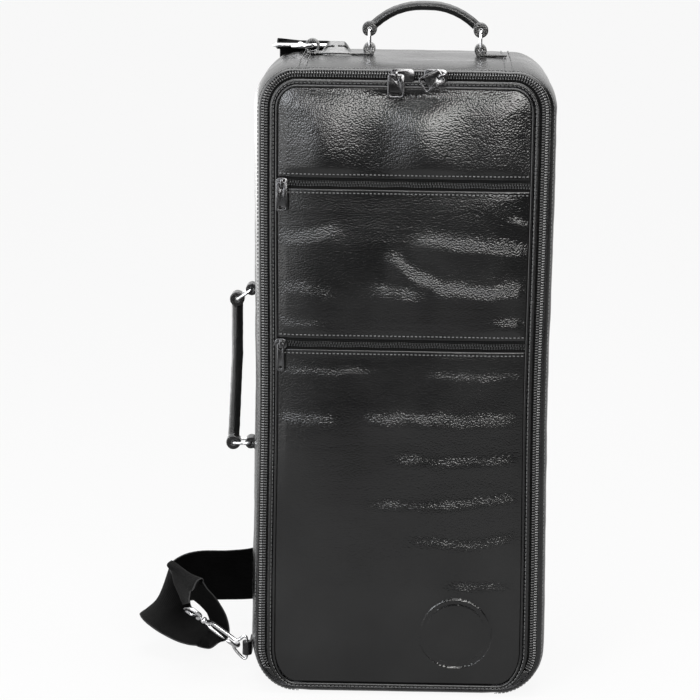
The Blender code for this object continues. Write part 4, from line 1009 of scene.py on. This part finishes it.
def stretched(x, z, table, strength):
    """How far the grain stands up: most where a fold draws the leather tight."""
    most = 0.0
    for points, width, _, _ in table:
        fade = eased((x - points[0][0]) / 0.035 + 0.5) * eased((points[-1][0] - x) / 0.030 + 0.5)
        if fade == 0.0:
            continue
        middle = points[0][1]
        for (x1, z1), (x2, z2) in zip(points, points[1:]):
            if x > x1:
                middle = z1 + (z2 - z1) * eased((x - x1) / (x2 - x1))
        middle += 0.0035 * noise.noise(Vector((x * 40.0, middle * 30.0, 2.0)))
        patchy = 0.75 + 0.6 * noise.noise(Vector((x * 60.0, 4.0, z * 90.0)))
        most = max(most, fade * patchy * math.exp(-((z - middle) / (0.42 * width)) ** 2))
    return min(1.0, strength * most)


def creases(x, z, seed, strong):
    """Long level folds of soft leather, and finer wrinkles among them."""
    wide = noise.noise(Vector((x * 6.0, seed, z * 34.0)))
    small = noise.noise(Vector((x * 17.0, seed + 4.0, z * 120.0)))
    broad = noise.noise(Vector((x * 15.0, seed + 9.0, z * 17.0)))
    sharp = 1.0 - abs(noise.noise(Vector((x * 9.0, seed + 2.0, z * 70.0)))) * 2.4
    return strong * (0.00085 * wide + 0.00018 * small + 0.00025 * max(sharp, 0.0) ** 3) + 0.0008 * broad


SPANS = {node: (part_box(node)[0].z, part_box(node)[1].z) for node in
         ("lid_top_panel", "lid_middle_panel", "lid_lower_panel")}


MIDDLE_FOLDS = (
    (((-0.009, 0.4028), (0.018, 0.3856), (0.040, 0.3765), (0.074, 0.3729), (0.112, 0.3783)), 0.016, 0.0011, 0.030),
    (((0.015, 0.421), (0.055, 0.4165), (0.112, 0.4125)), 0.015, 0.0007, 0.020),
    (((-0.022, 0.3745), (0.016, 0.3700)), 0.015, 0.0007, 0.020),
    (((0.080, 0.3480), (0.113, 0.3455)), 0.011, 0.0007, 0.016),
    (((-0.118, 0.4225), (-0.098, 0.4215), (-0.078, 0.4235), (-0.058, 0.4270)), 0.014, 0.0003, 0.030),
    (((-0.118, 0.3735), (-0.095, 0.3765), (-0.066, 0.3700)), 0.014, 0.0003, 0.030),
    (((-0.115, 0.3470), (-0.096, 0.3440), (-0.070, 0.3420)), 0.010, 0.0003, 0.030),
    (((0.098, 0.4390), (0.113, 0.4350)), 0.008, 0.0008, 0.012),
)
LOWER_FOLDS = (
    (((-0.114, 0.2572), (-0.086, 0.2565), (-0.058, 0.2572)), 0.014, 0.0006, 0.030),
    (((-0.030, 0.2585), (0.040, 0.2572), (0.103, 0.2586)), 0.016, 0.0008, 0.030),
    (((-0.006, 0.2205), (0.060, 0.2195), (0.102, 0.2235)), 0.013, 0.0007, 0.026),
    (((-0.026, 0.1794), (0.040, 0.1790), (0.104, 0.1870)), 0.013, 0.0006, 0.026),
    (((0.012, 0.1445), (0.060, 0.1440), (0.104, 0.1505)), 0.013, 0.0007, 0.026),
    (((0.045, 0.1040), (0.098, 0.1040)), 0.012, 0.0005, 0.024),
    (((-0.110, 0.3020), (-0.070, 0.3000), (-0.030, 0.3020)), 0.009, 0.0002, 0.024),
    (((0.030, 0.2990), (0.070, 0.2960), (0.104, 0.2990)), 0.009, 0.0002, 0.024),
)


def top_relief(x, z):
    """The top panel is drawn tight over soft lumps of foam, and dented under the zip pulls."""
    low, high = SPANS["lid_top_panel"]
    lumps = 0.04 + 0.90 * math.exp(-((x + 0.072) / 0.029) ** 2) + 0.92 * math.exp(-((x - 0.017) / 0.027) ** 2)
    lumps += 0.45 * math.exp(-((x - 0.086) / 0.024) ** 2)
    dent = 0.0030 * math.exp(-((x - 0.006) / 0.032) ** 2 - ((z - high) / 0.016) ** 2)
    return creases(x, z, 1.3, 0.15) + pillow(x, z, low, high, 0.0049 * lumps, 0.50) - dent


def middle_relief(x, z):
    """The middle panel lies flat but for a few folds, most of them on its right half."""
    low, high = SPANS["lid_middle_panel"]
    return creases(x, z, 5.2, 0.20) + pillow(x, z, low, high, 0.0012, 0.8) + folds(x, z, MIDDLE_FOLDS)


def lower_relief(x, z):
    """The lower panel folds on its right half, and carries the plain pressed ring."""
    away = math.hypot(x - MARK_CENTRE[0], z - MARK_CENTRE[1]) - MARK_RADIUS
    ring = MARK_DEPTH * math.exp(-((away / MARK_WIDTH) ** 2))
    inner = 0.6 * MARK_DEPTH * math.exp(-(((away + 0.0045) / MARK_WIDTH) ** 2))
    low, high = SPANS["lid_lower_panel"]
    return creases(x, z, 8.6, 0.12) + pillow(x, z, low, high, 0.0014, 0.9) + folds(x, z, LOWER_FOLDS) - ring - inner


TOP_LEATHER = leather("lid_top_leather", 0.0016, 0.118, 0.0001, 0.13, 1.0)
MIDDLE_LEATHER = leather("lid_middle_leather", 0.0015, 0.085, 0.0001, 0.13, 1.6)
LOWER_LEATHER = leather("lid_lower_leather", 0.0015, 0.075, 0.0001, 0.13, 1.6)
for node, finish, relief in (
    ("lid_top_panel", TOP_LEATHER, top_relief),
    ("lid_middle_panel", MIDDLE_LEATHER, middle_relief),
    ("lid_lower_panel", LOWER_LEATHER, lower_relief),
):
    table = {"lid_top_panel": (), "lid_middle_panel": MIDDLE_FOLDS, "lid_lower_panel": LOWER_FOLDS}[node]
    low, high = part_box(node)
    top = high.z if node != "lid_top_panel" else HEIGHT - PANEL_INSET
    lower_lap = LAP if node != "lid_lower_panel" else 0.0
    upper_lap = LAP if node != "lid_top_panel" else 0.0
    made = padded_leather(node + "_leather", low.z - lower_lap, top + upper_lap, PANEL_INSET, PANEL_BASE, -1,
                          PANEL_FACE, PANEL_REAR, PANEL_CROWN, CROWN_REACH, PANEL_ROLL, relief,
                          lambda x, z: stretched(x, z, table, 1.0), 0.0012)
    sew_in(made, finish, "lid", "black_leather", node)

# Pocket zips
# Each pocket opens along a level zip between two turned leather edges, with a row of stitches
# above and below. The coil stands proud of its tape.
MOUTH = 0.0055
POCKET_STITCH = 0.0028
POCKET_SEAM = bead("pocket_seam", 0.0019, 0.00095, 0.00120)
BESIDE_POCKET = {
    ("upper_pocket_zip", 1): ("lid_top_panel", top_relief), ("upper_pocket_zip", -1): ("lid_middle_panel", middle_relief),
    ("lower_pocket_zip", 1): ("lid_middle_panel", middle_relief), ("lower_pocket_zip", -1): ("lid_lower_panel", lower_relief),
}


def pocket_front(x, z):
    """Depth of the panels' crowned face near a pocket zip."""
    inside = max(edge_distance(x, z, PANEL_INSET, PANEL_BASE), 0.0)
    return PANEL_FACE - PANEL_CROWN * (1 - (1 - min(inside / CROWN_REACH, 1.0)) ** 2)


for node in ("upper_pocket_zip", "lower_pocket_zip"):
    low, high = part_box(node)
    middle = (low.z + high.z) / 2
    half = high.x - SIDE_DRAW
    rows = []
    for i in range(61):
        x = -half + 2 * half * i / 60
        proud = pocket_front(x, middle) - PANEL_FACE
        face = FRONT - 0.0002 + proud * 0.55
        sag = 0.0003 * math.sin(i * 0.7)
        section = [(high.y, -0.0052), (face, -0.0052), (face - 0.0002, -0.0028), (face - 0.0002, 0.0028),
                   (face, 0.0052), (high.y, 0.0052)]
        rows.append([give((x, y, middle + z + sag)) for y, z in section])
    sew_in(skin(node + "_tape", rows), TAPE_CLOTH, "lid", "zip_coil", node)
    for side in (-1, 1):
        path = []
        for i in range(121):
            x = -half + 0.001 + 2 * (half - 0.001) * i / 120
            proud = pocket_front(x, middle) - PANEL_FACE
            sag = 0.0003 * math.sin(i * 0.35)
            path.append(give((x, FRONT - 0.0012 + proud * 0.65, middle + side * 0.00125 + sag)))
        shift = path if side < 0 else [p + Vector((POCKET_PITCH / 2, 0, 0)) for p in path[:-1]]
        repeated(node + ("_lower_coil" if side < 0 else "_upper_coil"), [shift], POCKET_TURN, POCKET_PITCH, FINE_NYLON,
                 "lid", "zip_coil", CROSSING)
        z = middle + side * (MOUTH + POCKET_STITCH)
        panel, relief = BESIDE_POCKET[node, side]
        below, above = SPANS[panel]
        sewn = []
        for i in range(161):
            x = -half + 0.003 + 2 * (half - 0.003) * i / 160
            out = leather_swell(x, z, below - LAP, above + LAP, PANEL_INSET, PANEL_BASE, PANEL_CROWN, CROWN_REACH,
                                PANEL_ROLL, relief)
            sewn.append(give((x, PANEL_FACE - out - 0.0002, z)))
        stitched(node + ("_lower_stitches" if side < 0 else "_upper_stitches"), [sewn], "lid", item=POCKET_SEAM)

# Zip sliders and pulls
# Dark plated zinc castings. The sliders ride on the coil, and each flat pull turns in the arch
# on its slider.


def cast_metal(name, colour, rough):
    """Plated metal with soft smears and fine scratches."""
    made = bpy.data.materials.new(name)
    made.use_nodes = True
    tree = made.node_tree
    shader = tree.nodes["Principled BSDF"]
    base = add(tree, "ShaderNodeTexCoord").outputs["Object"]
    smear = add(tree, "ShaderNodeTexNoise", {"Vector": base, "Scale": 160.0, "Detail": 4.0})
    scratch = add(tree, "ShaderNodeTexNoise", {"Vector": scaled(tree, (1, 1, 9), base), "Scale": 700.0, "Detail": 3.0})
    dull = tuple(0.72 * c for c in colour)
    tree.links.new(mixed(tree, ramp(tree, smear.outputs["Fac"], 0.35, 0.7), colour, dull), shader.inputs["Base Color"])
    tree.links.new(ramp(tree, smear.outputs["Fac"], 0.3, 0.7, rough - 0.05, rough + 0.12), shader.inputs["Roughness"])
    tree.links.new(bump(tree, scratch.outputs["Fac"], 0.00002), shader.inputs["Normal"])
    shader.inputs["Metallic"].default_value = 1.0
    return made


def casting(node, finish, body, slot, width=0.0004, levels=0):
    """A node's shape with every edge rounded as on a casting, or wholly rounded as on bent wire."""
    piece = copy_of(node, node + "_metal")
    if levels:
        rounded = piece.modifiers.new("round", "SUBSURF")
        rounded.levels = levels
        rounded.render_levels = levels
    else:
        edge = piece.modifiers.new("edge", "BEVEL")
        edge.width = width
        edge.segments = 3
        edge.limit_method = "ANGLE"
        edge.angle_limit = math.radians(35)
    use_modifiers(piece)
    piece.data.shade_smooth()
    if not levels:
        piece.data.set_sharp_from_angle(angle=math.radians(50))
    return sew_in(piece, finish, body, slot, node)


GUNMETAL = cast_metal("gunmetal_plate", (0.13, 0.13, 0.133), 0.12)
for side in ("left", "right"):
    casting(side + "_main_slider", GUNMETAL, side + "_main_slider", "gunmetal", 0.0006)
    casting(side + "_main_pull", GUNMETAL, side + "_main_pull", "gunmetal", 0.00055)
for side in ("upper", "lower"):
    casting(side + "_pocket_slider", GUNMETAL, side + "_pocket_slider", "gunmetal", 0.0003)
    casting(side + "_pocket_pull", GUNMETAL, side + "_pocket_pull", "gunmetal", 0.0003)

# Handles
# Each grip is a rolled leather handle sewn along its length. It hangs on two wire links, which
# pass through folded leather anchors sewn to the bag.
CHROME = cast_metal("bright_plate", (0.62, 0.62, 0.63), 0.16)
GRIP_LEATHER = leather("grip_leather", 0.0013, 0.12, 0.0002, 0.20, 1.0)
for node in ("top_left_link", "top_right_link", "side_upper_link", "side_lower_link"):
    casting(node, CHROME, node, "bright_chrome", levels=2)
for node in ("top_handle_grip", "side_handle_grip"):
    grip = moulded(node, node + "_leather", 0.0006, 6, 0.0002, 160.0)
    sew_in(grip, GRIP_LEATHER, node, "black_leather", node)
STRIP_ENDS = (-0.0785, -0.0490)
STRIP_SLOTS = (-0.0705, -0.0580)
STRIP_TILT = 40.0
STRIP_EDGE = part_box("top_left_anchor")[0].y
STRIP_LEATHER = leather("strip_leather", 0.0014, 0.10, 0.0002, 0.20, 1.0, 1.0)


def tilt_strip(piece):
    """Cuts the strip's two slots, and tips it towards the front where the shoulder strap pulls it."""
    for place in STRIP_SLOTS:
        bm = bmesh.new()
        bmesh.ops.create_cube(bm, size=1.0)
        bmesh.ops.scale(bm, verts=bm.verts, vec=(0.0090, 0.0026, 0.02))
        bmesh.ops.translate(bm, verts=bm.verts, vec=(place, STRIP_EDGE + 0.0090, HEIGHT))
        cutter = finished("slot", bm)
        cut = piece.modifiers.new("slot", "BOOLEAN")
        cut.operation = "DIFFERENCE"
        cut.solver = "EXACT"
        cut.object = cutter
        use_modifiers(piece)
        bpy.data.objects.remove(cutter)
    for vert in piece.data.vertices:
        x, y, z = vert.co
        share = eased((x - STRIP_ENDS[0]) / 0.009) * eased((STRIP_ENDS[1] - x) / 0.009)
        turn = math.radians(STRIP_TILT) * share
        back, up = y - STRIP_EDGE, z - HEIGHT
        vert.co.y = STRIP_EDGE + back * math.cos(turn) - up * math.sin(turn)
        vert.co.z = HEIGHT + back * math.sin(turn) + up * math.cos(turn)
    piece.data.shade_smooth()


for node in ("top_left_anchor", "top_right_anchor", "side_upper_anchor", "side_lower_anchor", "ring_tab"):
    held = moulded(node, node + "_leather", 0.0006, 3, 0.00015, 120.0)
    if node == "top_left_anchor":
        tilt_strip(held)
    sew_in(held, STRIP_LEATHER if node == "top_left_anchor" else STRAP_LEATHER, "root", "black_leather", node)

# Hooks
# Bright plated swivel hooks. Each has a wide eye for the webbing, a barrel that turns, a bent wire
# hook and a sprung wire gate. The lower one holds a ring on a leather tab.
for node in ("upper_hook_eye", "lower_hook_eye"):
    casting(node, CHROME, "root", "bright_chrome", levels=2)
for node in ("upper_hook", "lower_hook", "upper_hook_gate", "lower_hook_gate", "lower_ring"):
    casting(node, CHROME, node, "bright_chrome", levels=2)

# Shoulder strap
# Flat black webbing 50 mm wide, folded round each hook's eye and sewn back on itself. It falls
# behind the bag and comes round the left side in loose loops.
WEBBING_WIDTH = 0.050
WEBBING = 0.0018


def webbing_finish():
    """Ribbed black webbing, with its weave laid along the strap, paler in worn patches and along both selvedges, where
    the pale line is partly edge wear and partly a painted highlight.
    """
    made = bpy.data.materials.new("ribbed_webbing")
    made.use_nodes = True
    tree = made.node_tree
    shader = tree.nodes["Principled BSDF"]
    weave = add(tree, "ShaderNodeAttribute", attribute_name="weave").outputs["Vector"]
    ribs = add(tree, "ShaderNodeTexWave", {"Vector": weave, "Scale": 190.0, "Distortion": 0.6}, bands_direction="X")
    picks = add(tree, "ShaderNodeTexWave", {"Vector": weave, "Scale": 330.0, "Distortion": 0.5}, bands_direction="Y")
    cloth = add(tree, "ShaderNodeMath", {0: ribs.outputs["Fac"], 1: picks.outputs["Fac"]}, operation="MULTIPLY")
    worn = add(tree, "ShaderNodeTexNoise", {"Vector": weave, "Scale": 60.0, "Detail": 4.0})
    worn = ramp(tree, worn.outputs["Fac"], 0.3, 0.7, 0.0, 0.03)
    # Painted highlight and edge wear: a pale line along each selvedge.
    across = add(tree, "ShaderNodeSeparateXYZ", {0: weave}).outputs["X"]
    across = add(tree, "ShaderNodeMath", {0: across}, operation="ABSOLUTE").outputs[0]
    selvedge = ramp(tree, across, WEBBING_WIDTH / 2 - 0.0011, WEBBING_WIDTH / 2 - 0.0005)
    pale = add(tree, "ShaderNodeMath", {0: worn, 1: selvedge}, operation="MAXIMUM").outputs[0]
    tree.links.new(mixed(tree, pale, (0.0008, 0.0008, 0.0008), (0.045, 0.045, 0.045)), shader.inputs["Base Color"])
    tree.links.new(bump(tree, cloth.outputs[0], 0.0004), shader.inputs["Normal"])
    shader.inputs["Roughness"].default_value = 0.62
    shader.inputs["Specular IOR Level"].default_value = 0.04
    return made


def hook_line():
    """Directions of the upper hook: along its pull, and along the bar that holds the webbing."""
    bar = Vector((-0.0955, 0.052, 0.5785))
    rim_point = Vector((-0.086, 0.008, 0.5813))
    neck = bar + Vector((-0.0045, 0.0, 0.0))
    along = (rim_point - Vector((0.009, 0.0, 0.0)) - neck).normalized()
    sideways = Vector((1.0, 0.0, 0.0))
    return bar, along, (sideways - along * sideways.dot(along)).normalized()


def strap_route():
    """Centres and width directions of the webbing, from its sewn end to the lower hook."""
    bar, along, across = hook_line()
    x = bar.x
    turn = 0.0034
    wide = Vector((1.0, 0.0, 0.0))
    up = across.cross(-along)
    rows = [
        (bar - along * 0.026 - up * (turn - 0.0012), across),
        (bar - along * 0.014 - up * (turn - 0.0007), across),
    ]
    for step in range(7):
        angle = math.radians(-75 - 40 * step)
        rows.append((bar - along * turn * math.cos(angle) + up * turn * math.sin(angle), across))
    top, back_y, side = HEIGHT, BACK + 0.0015, -HALF_WIDTH
    rows += [
        ((x, bar.y + 0.012, top + 0.0050), wide), ((x, back_y - 0.0125, top + 0.0032), wide),
        ((x, back_y - 0.0020, top + 0.0005), wide), ((x, back_y + 0.0030, top - 0.008), wide),
        ((x, back_y + 0.0040, top - 0.029), wide), ((x, back_y + 0.0045, top - 0.074), wide),
    ]
    rows += [((side + a, back_y + b, z), w) for a, b, z, w in (
        (0.0400, 0.0065, 0.440, wide), (0.0415, 0.0115, 0.380, (0.97, 0.25, 0.0)),
        (0.0455, 0.0205, 0.310, (0.74, 0.67, 0.0)), (0.0495, 0.0295, 0.240, (0.3, 0.95, 0.0)),
        (0.0515, 0.0335, 0.170, (0.05, 1.0, 0.0)), (0.0500, 0.0335, 0.115, (0.0, 1.0, 0.0)),
        (0.0360, 0.0325, 0.078, (0.05, 0.95, 0.25)), (0.0140, 0.0295, 0.060, (0.05, 0.7, 0.7)),
        (-0.0090, 0.0245, 0.054, (0.0, 0.2, 0.98)), (-0.0360, 0.0155, 0.054, (0.05, 0.0, 1.0)),
        (-0.0620, 0.0015, 0.057, (0.1, 0.0, 1.0)), (-0.0800, -0.0145, 0.057, (0.25, 0.08, 0.95)),
        (-0.0910, -0.0365, 0.056, (0.34, 0.25, 0.90)), (-0.0940, -0.0565, 0.052, (0.36, 0.45, 0.80)),
        (-0.0860, -0.0710, 0.041, (0.34, 0.72, 0.58)), (-0.0730, -0.0780, 0.030, (0.30, 0.88, 0.32)),
        (-0.0600, -0.0820, 0.023, (0.18, 0.95, 0.18)), (-0.0495, -0.0840, 0.021, (0.02, 0.99, 0.08)),
        (-0.0430, -0.0865, 0.026, (-0.20, 0.97, 0.05)), (-0.0410, -0.0905, 0.036, (-0.42, 0.90, 0.06)),
    )]
    x, y, z = -0.1935, -0.060, 0.0680
    rows += [((x + a, y + b, z + c), w) for a, b, c, w in (
        (0.0175, 0.0550, -0.0200, (-0.60, 0.79, 0.08)), (0.0130, 0.0430, -0.0060, (-0.70, 0.70, 0.08)),
        (0.0080, 0.0290, 0.0100, (-0.68, 0.72, 0.10)), (0.0030, 0.0155, 0.0240, (-0.62, 0.78, 0.12)),
        (-0.0002, 0.0085, 0.0315, (-0.57, 0.81, 0.13)), (-0.0030, 0.0050, 0.0335, (-0.57, 0.81, 0.13)),
        (-0.0051, 0.0032, 0.0300, (-0.54, 0.83, 0.08)), (-0.0055, 0.0036, 0.0210, (-0.40, 0.91, -0.10)),
        (-0.0035, 0.0025, 0.0109, (-0.26, 0.93, -0.25)), (-0.0014, 0.0010, 0.0044, (-0.20, 0.94, -0.277)),
    )]
    return [(Vector(p), Vector(w).normalized()) for p, w in rows]


def through(a, b, c, d, t):
    """A point between b and c on the smooth curve through four points."""
    return 0.5 * (2 * b + (c - a) * t + (2 * a - 5 * b + 4 * c - d) * t**2 + (3 * b - 3 * c + d - a) * t**3)


def strap(name, rows, steps=8, columns=14):
    """The webbing's mesh, with a thin body, rounded selvedges and its weave marked on it."""
    points, sides = [], []
    for i in range(len(rows) - 1):
        near = [rows[max(i - 1, 0)], rows[i], rows[i + 1], rows[min(i + 2, len(rows) - 1)]]
        for step in range(steps):
            points.append(through(*[r[0] for r in near], step / steps))
            sides.append(through(*[r[1] for r in near], step / steps).normalized())
    points.append(rows[-1][0])
    sides.append(rows[-1][1])
    length = 0.0
    skins, marks = [], []
    for i, point in enumerate(points):
        ahead, behind = points[min(i + 1, len(points) - 1)], points[max(i - 1, 0)]
        if i:
            length += (point - points[i - 1]).length
        run = (ahead - behind).normalized()
        side = (sides[i] - run * sides[i].dot(run)).normalized()
        out = run.cross(side)
        top, low, top_marks, low_marks = [], [], [], []
        for k in range(columns + 1):
            share = k / columns
            across = (share - 0.5) * WEBBING_WIDTH
            thick = WEBBING / 2 * (1.0 - 0.45 * abs(2 * share - 1) ** 12)
            top.append(point + side * across + out * thick)
            low.append(point + side * across - out * thick)
            top_marks.append((across, length, 0.0))
            low_marks.append((across, length, 0.0))
        skins.append(top + low[::-1])
        marks.append(top_marks + low_marks[::-1])
    return skin(name, skins, layers=marks), length


WEBBING_CLOTH = webbing_finish()
webbing, strap_length = strap("shoulder_webbing", strap_route())
sew_in(webbing, WEBBING_CLOTH, "root", "black_webbing", "shoulder_strap")

for item in (STITCH, COIL_TURN, POCKET_TURN, POCKET_SEAM):
    bpy.data.objects.remove(item)

low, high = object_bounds()
